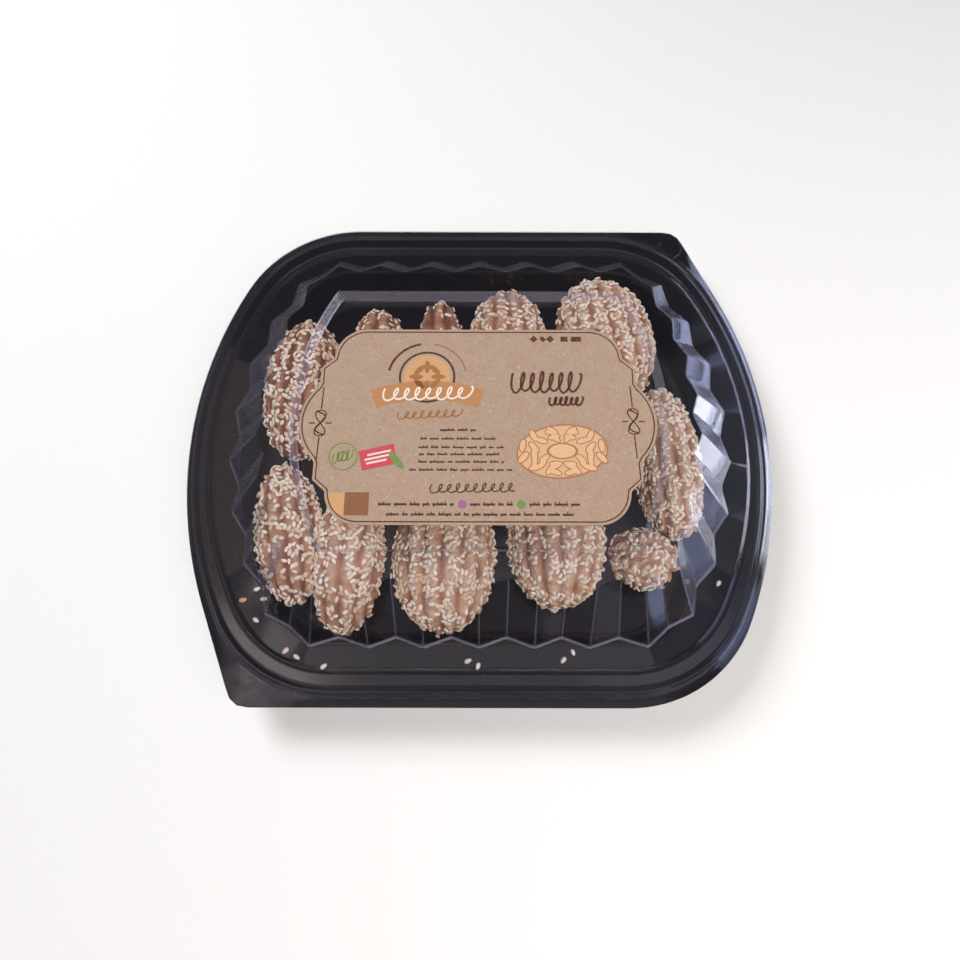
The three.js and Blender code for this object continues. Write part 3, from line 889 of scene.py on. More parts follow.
@dataclass
class Lid:
    """The clear lid: flange, bead, band, groove and ledge, the pleated wall, the flat top and the sunk panel.

    The edges of flange, bead and band are shares of the way from the pack's edge to the groove, and the ledge's is
    one of the way from the groove to the pleats. The radii round the bends from the panel outwards. The three
    painted highlights say how much paler the recess round the panel, the step at the pleats' foot and the folds are
    painted, in place of the light that these bends catch.
    """

    wall: float = 0.45
    edge_height: float = 22.2
    flange_rise: float = 1.2
    bead_height: float = 26.6
    band_height: float = 25.6
    groove_height: float = 24.8
    foot_height: float = 29.0
    step: float = 1.6
    step_reach: float = 0.5
    top_height: float = 53.0
    panel_height: float = 48.0
    fold_foot: float = 4.0
    fold_top: float = 3.2
    edge_start: float = 0.02
    flange_end: float = 0.28
    bead_start: float = 0.36
    bead_end: float = 0.5
    band_start: float = 0.6
    band_end: float = 0.92
    ledge_end: float = 0.12
    radii: tuple[float, ...] = (0.9, 0.9, 0.7, 0.6, 0.6, 0.5, 0.7, 0.5, 0.6, 0.9, 1.3, 0.7)
    bend_steps: int = 4
    marks: tuple[float, ...] = (0.0, 0.045, 0.09, 0.36, 0.64, 0.91, 0.955)
    # Painted highlights on the recess walls, the step at the pleats' foot and the folds.
    recess_painted_highlight: float = 0.14
    step_painted_highlight: float = 0.28
    fold_painted_highlight: float = 0.08

    def build(self, material: bpy.types.Material) -> bpy.types.Object:
        """Builds the lid's sheet and dresses it.

        Args:
            material: the lid's finish.

        Returns:
            The sheet, which stores how much painted highlight each point gets.
        """
        station = station_marks(self.marks)

        def rim(share: float, height: float) -> np.ndarray:
            """A loop between the pack's edge and the groove."""
            return EDGE.blend(GROOVE, share).loop(station, height)

        edge = rim(self.edge_start, self.edge_height)
        normals = EDGE.around(station)[1]
        foot_low = replace(PLEAT_FOOT, half_width=PLEAT_FOOT.half_width + self.step_reach,
                           half_depth=PLEAT_FOOT.half_depth + self.step_reach)
        loops = [
            np.array([[0.0, 0.0, self.panel_height]]),
            PANEL_FOOT.loop(station, self.panel_height),
            PANEL_RIM.loop(station, self.top_height),
            PLEAT_TOP.folded(station, self.top_height, self.fold_top),
            PLEAT_FOOT.folded(station, self.foot_height, self.fold_foot),
            foot_low.folded(station, self.foot_height - self.step, self.fold_foot),
            GROOVE.blend(PLEAT_FOOT, self.ledge_end).loop(station, self.band_height),
            rim(1, self.groove_height),
            rim(self.band_end, self.band_height),
            rim(self.band_start, self.band_height),
            rim(self.bead_end, self.bead_height),
            rim(self.bead_start, self.bead_height),
            rim(self.flange_end, self.edge_height + self.flange_rise),
            TAB.extend(edge, normals, EDGE.half_depth - 0.3, 0.3),
        ]
        profile = rounded(loops, self.radii, self.bend_steps)
        piece = sheet_of("lid_sheet", profile, self.wall)
        # Painted highlights are stored on the sheet's points, for both of its faces.
        painted_highlight = piece.data.attributes.new("painted_highlight", "FLOAT", "POINT")
        painted_highlight.data.foreach_set("value", np.tile(self.painted_highlights(profile), 2))
        return dress(piece, material, "lid", "lid")

    def painted_highlights(self, profile: list[np.ndarray]) -> np.ndarray:
        """How much painted highlight each point of the sheet gets: on the step at the pleats' foot, on the folds, round
        the recess.

        Args:
            profile: the sheet's loops.

        Returns:
            One share for each point, in the order of the loops.
        """
        shares = []
        for loop in profile:
            x, y, z = np.abs(loop).T
            inside = (x < PANEL_RIM.half_width + 0.1) & (y < PANEL_RIM.half_depth + 0.1)
            recess = inside & (z > self.panel_height + 0.2) & (z < self.top_height - 0.1)
            step = (z > self.foot_height - self.step + 0.2) & (z < self.foot_height + 0.1)
            fold = (z > self.foot_height + 0.3) & (z < self.top_height - 0.4) & ~inside
            fold &= np.arange(len(loop)) % len(self.marks) == 0
            # Painted highlight: paler recess walls, step and folds.
            shares.append(self.recess_painted_highlight * recess + self.step_painted_highlight * step + self.fold_painted_highlight * fold)
        return np.concatenate(shares)


@dataclass(frozen=True)
class PastrySize:
    """One pastry: the place of its middle, its sizes, its turn in degrees, and how it is shaped and sown.

    The widest level's height is a share of the whole. Seeded says how thickly it is sown, and the last number how
    much darker its crust is painted as painted shade, both from 0 to 1.
    """

    x: float
    y: float
    wide: float
    long: float
    tall: float
    turn: float
    widest: float
    seeded: float = 1.0
    # Painted shade: how much darker the crust is painted.
    painted_shade: float = 0.0


@dataclass
class Pastries:
    """One layer of moulded, ribbed pastries; Geometry Nodes work every crust out from the same formula.

    The foot's width is a share of the widest level's, and shrinks by the foot's draw as that level rises. The draw
    step sets how far apart the pastries lie in the noise. The core and the skirt end at shares of the grid.
    """

    back: tuple[PastrySize, ...] = (
        # The last number of a row, where given, is painted shade: darker crusts, most at the back and on the left.
        PastrySize(-82.7, 27.8, 38, 73, 32, -3, 0.5, 0.9, 0.55),
        PastrySize(-48.8, 39.5, 34.4, 69, 29, 0, 0.3, 0.55, 0.4),
        PastrySize(-19.4, 45.5, 26.6, 67, 29, 0, 0.3, 0.25, 0.5),
        PastrySize(13.4, 48.5, 43, 70, 33, 0, 0.3, 0.85, 0.22),
        PastrySize(60, 53.2, 48, 67, 37, 14, 0.45, 0.9, 0.12),
        PastrySize(85.0, -8, 33, 76, 31, 4, 0.45),
    )
    front: tuple[PastrySize, ...] = (
        PastrySize(71.6, -51.6, 29, 33, 26, 75, 0.4, 0.8),
        PastrySize(34, -44, 46, 64, 31, 0, 0.35, 0.95),
        PastrySize(-15.5, -51, 48, 71, 32, 0, 0.35),
        PastrySize(-57.0, -52.4, 33, 69, 30, -2, 0.35, 1.0, 0.15),
        PastrySize(-82.8, -41.8, 31, 66, 29, 10, 0.62, 0.9, 0.38),
    )
    stand: float = 1.2
    foot: float = 0.96
    foot_draw: float = 0.3
    draw_step: float = 1.7
    rib_pitch: float = 6.6
    rib_depth: float = 2.2
    knob_pitch: float = 4.4
    knob_depth: float = 0.7
    crown_power: float = 2.6
    column_spread: float = 1.15
    row_spread: float = 1.25
    core: float = 0.84
    skirt: float = 0.96
    columns: int = 113
    rows: int = 89
    inputs: tuple[str, ...] = (
        "Wide", "Long", "Tall", "Widest", "Foot", "Seeded", "Painted_Shade", "Turn", "Rib Count", "Rib Depth",
        "Knob Pitch", "Knob Depth", "Draw",
    )

    def formula(self) -> tuple[tuple, ...]:
        """The crust's formula, row by row: a name, an operation, and numbers or earlier names.

        The grid's x and y run from -1 to 1. Its core is the crown, the band round it is the flank, and the last
        band runs in under the pastry to its middle.

        Returns:
            The rows, in the order in which they are worked out.
        """
        column, row = self.column_spread, self.row_spread
        return (
            ("side x", "ABSOLUTE", "x"), ("side y", "ABSOLUTE", "y"), ("reach in grid", "MAXIMUM", "side x", "side y"),
            ("divisor", "MAXIMUM", "reach in grid", self.core),
            ("px", "DIVIDE", "x", "divisor"), ("py", "DIVIDE", "y", "divisor"),
            ("angle x", "MULTIPLY", "px", column), ("sine x", "SINE", "angle x"),
            ("across", "DIVIDE", "sine x", math.sin(column)),
            ("angle y", "MULTIPLY", "py", row), ("sine y", "SINE", "angle y"),
            ("along", "DIVIDE", "sine y", math.sin(row)),
            ("across square", "MULTIPLY", "across", "across"), ("along square", "MULTIPLY", "along", "along"),
            ("u part", "MULTIPLY_ADD", "along square", -0.5, 1.0), ("u root", "SQRT", "u part"),
            ("u", "MULTIPLY", "across", "u root"),
            ("v part", "MULTIPLY_ADD", "across square", -0.5, 1.0), ("v root", "SQRT", "v part"),
            ("v", "MULTIPLY", "along", "v root"),
            ("u square", "MULTIPLY", "u", "u"), ("reach square", "MULTIPLY_ADD", "v", "v", "u square"),
            ("reach", "SQRT", "reach square"), ("reach", "MINIMUM", "reach", 1.0),
            ("fall", "POWER", "reach", self.crown_power), ("rise", "SUBTRACT", 1.0, "fall"),
            ("rise", "SQRT", "rise"),
            ("low", "MULTIPLY", "Tall", "Widest"), ("dome", "SUBTRACT", "Tall", "low"),
            ("lift", "MULTIPLY", "dome", "rise"),
            ("half wide", "MULTIPLY", "Wide", 0.5), ("half long", "MULTIPLY", "Long", 0.5),
            ("plan x", "MULTIPLY", "u", "half wide"), ("plan y", "MULTIPLY", "v", "half long"),
            ("out x", "MULTIPLY", "plan x", 0.45), ("out y", "MULTIPLY", "plan y", 0.3),
            ("phase", "MULTIPLY_ADD", "px", 0.5, 0.5), ("phase", "MULTIPLY_ADD", "phase", "Rib Count", 0.5),
            ("rib", "FLOOR", "phase"),
            ("wobble", "MULTIPLY_ADD", "noise", 2.0, -1.0), ("bent", "MULTIPLY_ADD", "wobble", 0.3, "phase"),
            ("turns", "MULTIPLY", "bent", math.tau), ("cosine", "COSINE", "turns"),
            ("crest", "MULTIPLY_ADD", "cosine", -0.5, 0.5), ("round crest", "POWER", "crest", 0.6),
            ("knob place", "DIVIDE", "plan y", "Knob Pitch"), ("knob place", "MULTIPLY_ADD", "rib", 0.37, "knob place"),
            ("knob place", "MULTIPLY_ADD", "wobble", 0.6, "knob place"), ("knob place", "ADD", "knob place", "Draw"),
            ("knob turns", "MULTIPLY", "knob place", math.tau), ("knob", "SINE", "knob turns"),
            ("knob", "SUBTRACT", 1.0, "knob"), ("knob", "MULTIPLY", "knob", "crest"),
            ("knob sink", "MULTIPLY", "knob", "Knob Depth"),
            ("valley", "SUBTRACT", 1.0, "round crest"), ("valley sink", "MULTIPLY", "valley", "Rib Depth"),
            ("sink", "ADD", "valley sink", "knob sink"),
            ("dent", "ABSOLUTE", "wobble"), ("sink", "MULTIPLY_ADD", "dent", 1.2 * MM, "sink"),
            ("sink", "MULTIPLY_ADD", "crumb", 2.0 * MM, "sink"),
            ("flank share", "SUBTRACT", "reach in grid", self.core),
            ("flank share", "DIVIDE", "flank share", self.skirt - self.core),
            ("flank share", "MINIMUM", "flank share", 1.0), ("flank share", "MAXIMUM", "flank share", 0.0),
            ("height share", "SUBTRACT", 1.0, "flank share"),
            ("draw in", "SUBTRACT", 1.0, "Foot"), ("curve", "POWER", "flank share", 1.6),
            ("draw in", "MULTIPLY", "draw in", "curve"), ("scale", "SUBTRACT", 1.0, "draw in"),
            ("under", "SUBTRACT", 1.0, "reach in grid"), ("under", "DIVIDE", "under", 1.0 - self.skirt),
            ("under", "MINIMUM", "under", 1.0), ("scale", "MULTIPLY", "scale", "under"),
        )

    def colouring(self) -> tuple[tuple, ...]:
        """How dark each place is coloured and how thickly it is sown.

        Returns:
            Rows like the formula's.
        """
        return (
            ("level", "DIVIDE", "height", "Tall"), ("level", "MAXIMUM", "level", 0.0),
            ("depth", "SUBTRACT", 1.0, "level"), ("depth", "MAXIMUM", "depth", 0.0), ("depth", "POWER", "depth", 1.7),
            # Darker in the rib valleys and lower down.
            ("darkness_and_shade", "MULTIPLY", "valley", 0.6), ("darkness_and_shade", "MULTIPLY_ADD", "depth", 0.45, "darkness_and_shade"),
            # Then darker by the pastry's painted shade.
            ("darkness_and_shade", "ADD", "darkness_and_shade", "Painted_Shade"),
            ("patch", "SUBTRACT", 0.62, "noise"), ("patch", "MULTIPLY_ADD", "patch", 6.0, 0.5),
            ("patch", "MINIMUM", "patch", 1.0), ("patch", "MAXIMUM", "patch", 0.12),
            ("seeding", "MULTIPLY_ADD", "crest", 0.55, 0.45), ("seeding", "MULTIPLY", "seeding", "patch"),
            ("high", "MULTIPLY_ADD", "level", 2.4, -0.3), ("high", "MINIMUM", "high", 1.0),
            ("high", "MAXIMUM", "high", 0.0), ("seeding", "MULTIPLY", "seeding", "high"),
            ("seeding", "MULTIPLY", "seeding", "Seeded"),
        )

    def tree(self, material: bpy.types.Material) -> tuple[bpy.types.NodeTree, dict[str, str]]:
        """Builds the tree that adds one crust to what it is given.

        Args:
            material: the crust's finish.

        Returns:
            The tree, and the identifier of each named input.
        """
        kinds = {"Place": "Vector"} | {name: "Float" for name in self.inputs}
        tree, identifiers, start = node_group("ribbed_crust", kinds)
        grid = add_node(tree, "GeometryNodeMeshGrid", {
            "Size X": 2.0, "Size Y": 2.0, "Vertices X": self.columns, "Vertices Y": self.rows,
        })
        point = add_node(tree, "ShaderNodeSeparateXYZ", {0: add_node(tree, "GeometryNodeInputPosition").outputs[0]})
        value = {name: start[name] for name in self.inputs}
        value.update(x=point.outputs["X"], y=point.outputs["Y"])
        spot = add_node(tree, "ShaderNodeCombineXYZ", {"X": value["x"], "Y": value["y"], "Z": start["Draw"]})
        for name, scale, detail in (("noise", 2.3, 1.0), ("crumb", 16.0, 3.0)):
            texture = add_node(tree, "ShaderNodeTexNoise", {
                "Vector": spot.outputs[0], "Scale": scale, "Detail": detail,
            })
            value[name] = texture.outputs["Fac"]
        self.work_out(tree, value, self.formula())
        outward = add_node(tree, "ShaderNodeVectorMath", {0: add_node(tree, "ShaderNodeCombineXYZ", {
            "X": value["out x"], "Y": value["out y"], "Z": value["lift"],
        }).outputs[0]}, operation="NORMALIZE")
        relief = add_node(tree, "ShaderNodeVectorMath", {
            0: outward.outputs[0], "Scale": value["sink"],
        }, operation="SCALE")
        plain = add_node(tree, "ShaderNodeCombineXYZ", {
            "X": value["plan x"], "Y": value["plan y"],
            "Z": add_node(tree, "ShaderNodeMath", {0: value["low"], 1: value["lift"]}, operation="ADD").outputs[0],
        })
        ribbed = add_node(tree, "ShaderNodeVectorMath", {0: plain.outputs[0], 1: relief.outputs[0]},
                          operation="SUBTRACT")
        drawn_in = add_node(tree, "ShaderNodeCombineXYZ", {
            "X": value["scale"], "Y": value["scale"], "Z": value["height share"],
        })
        shaped = add_node(tree, "ShaderNodeVectorMath", {0: ribbed.outputs[0], 1: drawn_in.outputs[0]},
                          operation="MULTIPLY")
        value["height"] = add_node(tree, "ShaderNodeSeparateXYZ", {0: shaped.outputs[0]}).outputs["Z"]
        self.work_out(tree, value, self.colouring())
        mesh = grid.outputs["Mesh"]
        for name in ("darkness_and_shade", "seeding"):
            mesh = add_node(tree, "GeometryNodeStoreNamedAttribute", {
                "Geometry": mesh, "Name": name, "Value": value[name],
            }, data_type="FLOAT", domain="POINT").outputs[0]
        placed = add_node(tree, "GeometryNodeSetPosition", {"Geometry": mesh, "Position": shaped.outputs[0]})
        closed = add_node(tree, "GeometryNodeMergeByDistance", {0: placed.outputs[0], "Distance": 0.01 * MM})
        turn = add_node(tree, "ShaderNodeCombineXYZ", {"Z": start["Turn"]})
        moved = add_node(tree, "GeometryNodeTransform", {
            "Geometry": closed.outputs[0], "Translation": start["Place"], "Rotation": turn.outputs[0],
        })
        smooth = add_node(tree, "GeometryNodeSetShadeSmooth", {0: moved.outputs[0]})
        joined = add_node(tree, "GeometryNodeJoinGeometry", {0: start["Geometry"]})
        tree.links.new(smooth.outputs[0], joined.inputs[0])
        close_group(tree, joined.outputs[0], material)
        return tree, identifiers

    @staticmethod
    def work_out(tree: bpy.types.NodeTree, value: dict[str, bpy.types.NodeSocket], rows: tuple[tuple, ...]) -> None:
        """Adds one calculation for each row.

        Args:
            tree: the tree that takes the nodes.
            value: earlier results by name; each new one is kept here too.
            rows: a name, an operation, and numbers or earlier names.
        """
        for name, operation, *terms in rows:
            inputs = {place: value[term] if isinstance(term, str) else term for place, term in enumerate(terms)}
            value[name] = add_node(tree, "ShaderNodeMath", inputs, operation=operation).outputs[0]

    def build(self, material: bpy.types.Material) -> list[bpy.types.Object]:
        """Builds the back and the front pastries.

        Args:
            material: the crust's finish.

        Returns:
            Two pieces, which store how dark each place is coloured, painted shade included, and how thickly it is sown.
        """
        tree, identifiers = self.tree(material)
        pieces = []
        number = 0
        for name, sizes in (("pastries_back", self.back), ("pastries_front", self.front)):
            piece = mesh_object(name, np.zeros((0, 3)), [])
            nodes = []
            for size in sizes:
                number += 1
                nodes.append(f"pastry_{number:02d}")
                run_group(piece, nodes[-1], tree, identifiers, {
                    "Place": (size.x * MM, size.y * MM, self.stand * MM), "Wide": size.wide * MM,
                    "Long": size.long * MM, "Tall": size.tall * MM, "Widest": size.widest,
                    "Foot": self.foot - self.foot_draw * size.widest, "Turn": math.radians(size.turn),
                    # The pastry's painted shade is handed to the tree with its seeding.
                    "Seeded": size.seeded, "Painted_Shade": size.painted_shade,
                    "Rib Count": float(round(size.wide / self.rib_pitch)), "Rib Depth": self.rib_depth * MM,
                    "Knob Pitch": self.knob_pitch * MM, "Knob Depth": self.knob_depth * MM,
                    "Draw": number * self.draw_step,
                })
            pieces.append(dress(plain_mesh(piece), material, "crust", *nodes))
        return pieces


@dataclass
class Sesame:
    """Sesame seeds: sown over the crusts by Geometry Nodes, and a few that lie loose on the tray's ledge.

    The spacing is the least between two seeds, and the density is in seeds per square millimetre.
    """

    long: float = 3.1
    wide: float = 1.9
    thick: float = 1.05
    spacing: float = 1.75
    density: float = 1.1
    taper: float = 0.35
    sunk: float = 0.32
    lean: float = 0.1
    scales: tuple[float, float] = (0.85, 1.12)
    first_draw: int = 11
    loose_draw: int = 5
    loose_lift: float = 0.05
    loose: tuple[tuple[float, float], ...] = (
        (-92.5, -66.8), (-97.8, -71.3), (-91.6, -79.5), (-78.3, -91.6), (-73.6, -94.0), (-4.4, -95.4),
        (34.0, -95.0), (100.0, -64.0), (-89.3, -70.9), (-62.4, -97.6), (-0.4, -97.4), (38.0, -92.0),
    )

    def seed_shape(self, tree: bpy.types.NodeTree, material: bpy.types.Material) -> bpy.types.NodeSocket:
        """Adds the nodes of one seed: a low ball drawn out, thinner towards one end, most of it above its origin.

        Args:
            tree: the tree that takes the nodes.
            material: the seed's finish.

        Returns:
            The seed.
        """
        ball = add_node(tree, "GeometryNodeMeshUVSphere", {"Segments": 6, "Rings": 4, "Radius": 0.5})
        place = add_node(tree, "GeometryNodeInputPosition")
        split = add_node(tree, "ShaderNodeSeparateXYZ", {0: place.outputs[0]})
        slim = add_node(tree, "ShaderNodeMath", {0: split.outputs["Z"], 1: -self.taper, 2: 1.0},
                        operation="MULTIPLY_ADD")
        side = add_node(tree, "ShaderNodeMath", {0: split.outputs["X"], 1: slim.outputs[0]}, operation="MULTIPLY")
        size = add_node(tree, "ShaderNodeCombineXYZ", {"X": split.outputs["Z"], "Y": side.outputs[0],
                                                       "Z": split.outputs["Y"]})
        scaled = add_node(tree, "ShaderNodeVectorMath", {
            0: size.outputs[0], 1: (self.long * MM, self.wide * MM, self.thick * MM),
            2: (0.0, 0.0, self.thick * self.sunk * MM),
        }, operation="MULTIPLY_ADD")
        shaped = add_node(tree, "GeometryNodeSetPosition", {
            "Geometry": ball.outputs["Mesh"], "Position": scaled.outputs[0],
        })
        smooth = add_node(tree, "GeometryNodeSetShadeSmooth", {0: shaped.outputs[0]})
        dressed = add_node(tree, "GeometryNodeSetMaterial", {0: smooth.outputs[0], "Material": material})
        return dressed.outputs[0]

    def scatter(self, name: str, source: bpy.types.Object, material: bpy.types.Material, seed: int,
                on_points: bool) -> bpy.types.Object:
        """Puts a seed at every point of the source, or sows seeds over its faces.

        Args:
            name: the new piece's name.
            source: the mesh that is sown; its seeding attribute says how thickly.
            material: the seeds' finish.
            seed: fixes what is drawn by lot.
            on_points: True puts one seed at each of the source's points.

        Returns:
            The seeds as one plain mesh.
        """
        tree, identifiers, start = node_group(name, {"Spacing": "Float", "Density": "Float", "Draw": "Int"})
        if on_points:
            sown = add_node(tree, "GeometryNodeMeshToPoints", {"Mesh": start["Geometry"]})
            upright = add_node(tree, "FunctionNodeEulerToRotation").outputs[0]
        else:
            thick = add_node(tree, "GeometryNodeInputNamedAttribute", {"Name": "seeding"}, data_type="FLOAT")
            sown = add_node(tree, "GeometryNodeDistributePointsOnFaces", {
                "Mesh": start["Geometry"], "Distance Min": start["Spacing"], "Density Max": start["Density"],
                "Density Factor": thick.outputs["Attribute"], "Seed": start["Draw"],
            }, distribute_method="POISSON")
            upright = sown.outputs["Rotation"]
        tone = add_node(tree, "FunctionNodeRandomValue", {"Seed": start["Draw"]}, data_type="FLOAT")
        toned = add_node(tree, "GeometryNodeStoreNamedAttribute", {
            "Geometry": sown.outputs[0], "Name": "tone", "Value": tone.outputs[1],
        }, data_type="FLOAT", domain="POINT")
        lean = add_node(tree, "FunctionNodeRandomValue", {
            0: (-self.lean, -self.lean, 0.0), 1: (self.lean, self.lean, math.tau), "Seed": start["Draw"],
        }, data_type="FLOAT_VECTOR")
        spun = add_node(tree, "FunctionNodeEulerToRotation", {0: lean.outputs[0]})
        turned = add_node(tree, "FunctionNodeRotateRotation", {
            "Rotation": upright, "Rotate By": spun.outputs[0],
        }, rotation_space="LOCAL")
        low, high = self.scales
        grown = add_node(tree, "FunctionNodeRandomValue", {2: low, 3: high, "Seed": start["Draw"]}, data_type="FLOAT")
        seeds = add_node(tree, "GeometryNodeInstanceOnPoints", {
            "Points": toned.outputs[0], "Instance": self.seed_shape(tree, material),
            "Rotation": turned.outputs[0], "Scale": grown.outputs[1],
        })
        close_group(tree, seeds.outputs[0], material)
        piece = bpy.data.objects.new(name, source.data.copy())
        bpy.context.scene.collection.objects.link(piece)
        run_group(piece, "seeds", tree, identifiers, {
            "Spacing": self.spacing * MM, "Density": self.density / MM ** 2, "Draw": seed,
        })
        return plain_mesh(piece)

    def build(self, crusts: list[bpy.types.Object], ledge: float, material: bpy.types.Material) -> None:
        """Sows the crusts and lays the loose seeds.

        Args:
            crusts: the pastries' pieces.
            ledge: height of the tray's ledge.
            material: the seeds' finish.
        """
        for draw, crust in enumerate(crusts):
            name = crust.name.replace("pastries", "sesame")
            dress(self.scatter(name, crust, material, self.first_draw + draw, False), material, "sesame")
        points = np.array([(x, y, ledge + self.loose_lift) for x, y in self.loose])
        marks = mesh_object("loose_marks", points, [])
        dress(self.scatter("sesame_loose", marks, material, self.loose_draw, True), material, "sesame")
        bpy.data.objects.remove(marks)


@dataclass
class Label:
    """The kraft plaque in the sunk panel: round shoulders, a notch at each, and a bulge at each side."""

    x: float = -0.6
    y: float = -2.5
    half_depth: float = 43.1
    shoulder: float = 13.6
    shoulder_x: float = 47.0
    notch_x: float = 65.8
    notch_top: float = 24.8
    notch_foot: float = 17.6
    bulge_half_width: float = 73.2
    bulge_radius: float = 22.5
    bulge_reach: float = 15.8
    low: float = 48.3
    high: float = 48.7
    border_inset: float = 1.3
    arc_steps: int = 20

    def outline(self) -> np.ndarray:
        """Works out the plaque's edge.

        Returns:
            Points in plan, clockwise from the first shoulder.
        """
        shoulder = [
            (self.shoulder_x + self.shoulder * math.sin(a), self.half_depth - self.shoulder * (1 - math.cos(a)))
            for a in np.linspace(0, math.pi / 2, self.arc_steps)
        ]
        start = math.asin(self.bulge_reach / self.bulge_radius)
        middle = self.bulge_half_width - self.bulge_radius
        bulge = [
            (middle + self.bulge_radius * math.cos(a), self.bulge_radius * math.sin(a))
            for a in np.linspace(start, 0, self.arc_steps)
        ]
        quarter = shoulder + [(self.notch_x, self.notch_top), (self.notch_x, self.notch_foot)] + bulge
        right = quarter + [(x, -y) for x, y in reversed(quarter[:-1])]
        return np.array(right + [(-x, -y) for x, y in right])

    def prism(self, outline: np.ndarray, low: float, high: float) -> tuple[np.ndarray, list[tuple[int, ...]]]:
        """Raises an outline in plan from one height to another and closes it.

        Args:
            outline: points round the label's middle.
            low: height of the lower face.
            high: height of the upper face.

        Returns:
            The points, and the faces as rows of point numbers.
        """
        count = len(outline)
        points = np.vstack([
            np.column_stack([outline, np.full(count, high)]), np.column_stack([outline, np.full(count, low)]),
        ]) + np.array([self.x, self.y, 0])
        shifted = np.roll(outline, -1, axis=0)
        anticlockwise = np.sum(outline[:, 0] * shifted[:, 1] - shifted[:, 0] * outline[:, 1]) > 0
        top = list(range(count)) if anticlockwise else list(range(count))[::-1]
        faces = [tuple(top), tuple(k + count for k in reversed(top))]
        for k in range(count):
            here, after = top[k], top[(k + 1) % count]
            faces.append((here, here + count, after + count, after))
        return points, faces

    def build(self, paper: bpy.types.Material) -> bpy.types.Object:
        """Builds the plaque and dresses it.

        Args:
            paper: its finish.

        Returns:
            The plaque.
        """
        points, faces = self.prism(self.outline(), self.low, self.high)
        piece = mesh_object("label_plaque", points, faces, smooth=False)
        return dress(piece, paper, "label", "label")


class Profile(Enum):
    """Section of a line that is swept along paths."""

    FLAT = "flat"
    ROUND = "round"


@dataclass
class Sweep:
    """Lines that follow paths: Geometry Nodes sweep a small section along them."""

    name: str
    width: float
    height: float
    profile: Profile
    colour: str = "#000000"

    def tree(self, material: bpy.types.Material) -> tuple[bpy.types.NodeTree, dict[str, str]]:
        """Builds the tree.

        Args:
            material: the lines' finish.

        Returns:
            The tree, and the identifier of each named input.
        """
        tree, identifiers, start = node_group(self.name, {"Width": "Float", "Height": "Float", "Ink": "Color"})
        path = add_node(tree, "GeometryNodeMeshToCurve", {"Mesh": start["Geometry"]})
        level = add_node(tree, "GeometryNodeSetCurveNormal", {"Curve": path.outputs[0]}, mode="Z_UP")
        if self.profile is Profile.FLAT:
            section = add_node(tree, "GeometryNodeCurvePrimitiveQuadrilateral", {
                "Width": start["Width"], "Height": start["Height"],
            }).outputs[0]
        else:
            half = add_node(tree, "ShaderNodeMath", {0: start["Width"], 1: 0.5}, operation="MULTIPLY")
            circle = add_node(tree, "GeometryNodeCurvePrimitiveCircle", {"Resolution": 10, "Radius": half.outputs[0]})
            lower = add_node(tree, "ShaderNodeMath", {0: start["Height"], 1: start["Width"]}, operation="DIVIDE")
            squash = add_node(tree, "ShaderNodeCombineXYZ", {"X": 1.0, "Y": lower.outputs[0], "Z": 1.0})
            section = add_node(tree, "GeometryNodeTransform", {
                "Geometry": circle.outputs[0], "Scale": squash.outputs[0],
            }).outputs[0]
        ribbon = add_node(tree, "GeometryNodeCurveToMesh", {
            "Curve": level.outputs[0], "Profile Curve": section, "Fill Caps": True,
        })
        smooth = add_node(tree, "GeometryNodeSetShadeSmooth", {
            0: ribbon.outputs[0], "Shade Smooth": self.profile is Profile.ROUND,
        })
        inked = add_node(tree, "GeometryNodeStoreNamedAttribute", {
            "Geometry": smooth.outputs[0], "Name": "ink", "Value": start["Ink"],
        }, data_type="FLOAT_COLOR", domain="FACE")
        close_group(tree, inked.outputs[0], material)
        return tree, identifiers

    def build(self, paths: list[tuple[np.ndarray, bool]], level: float, material: bpy.types.Material,
              slot: str) -> bpy.types.Object:
        """Sweeps the section along paths.

        Args:
            paths: points in plan, and whether the path closes.
            level: height of the section's middle.
            material: the lines' finish.
            slot: the part's material slot.

        Returns:
            The lines as one plain mesh.
        """
        points, edges = [], []
        for line, closed in paths:
            start = len(points)
            points += [(x, y, level) for x, y in line]
            edges += [(start + k, start + k + 1) for k in range(len(line) - 1)]
            if closed:
                edges.append((start + len(line) - 1, start))
        piece = mesh_object(self.name, np.array(points), [], edges=edges)
        run_group(piece, "sweep", *self.tree(material), {
            "Width": self.width * MM, "Height": self.height * MM, "Ink": linear(self.colour),
        })
        return dress(plain_mesh(piece), material, slot)


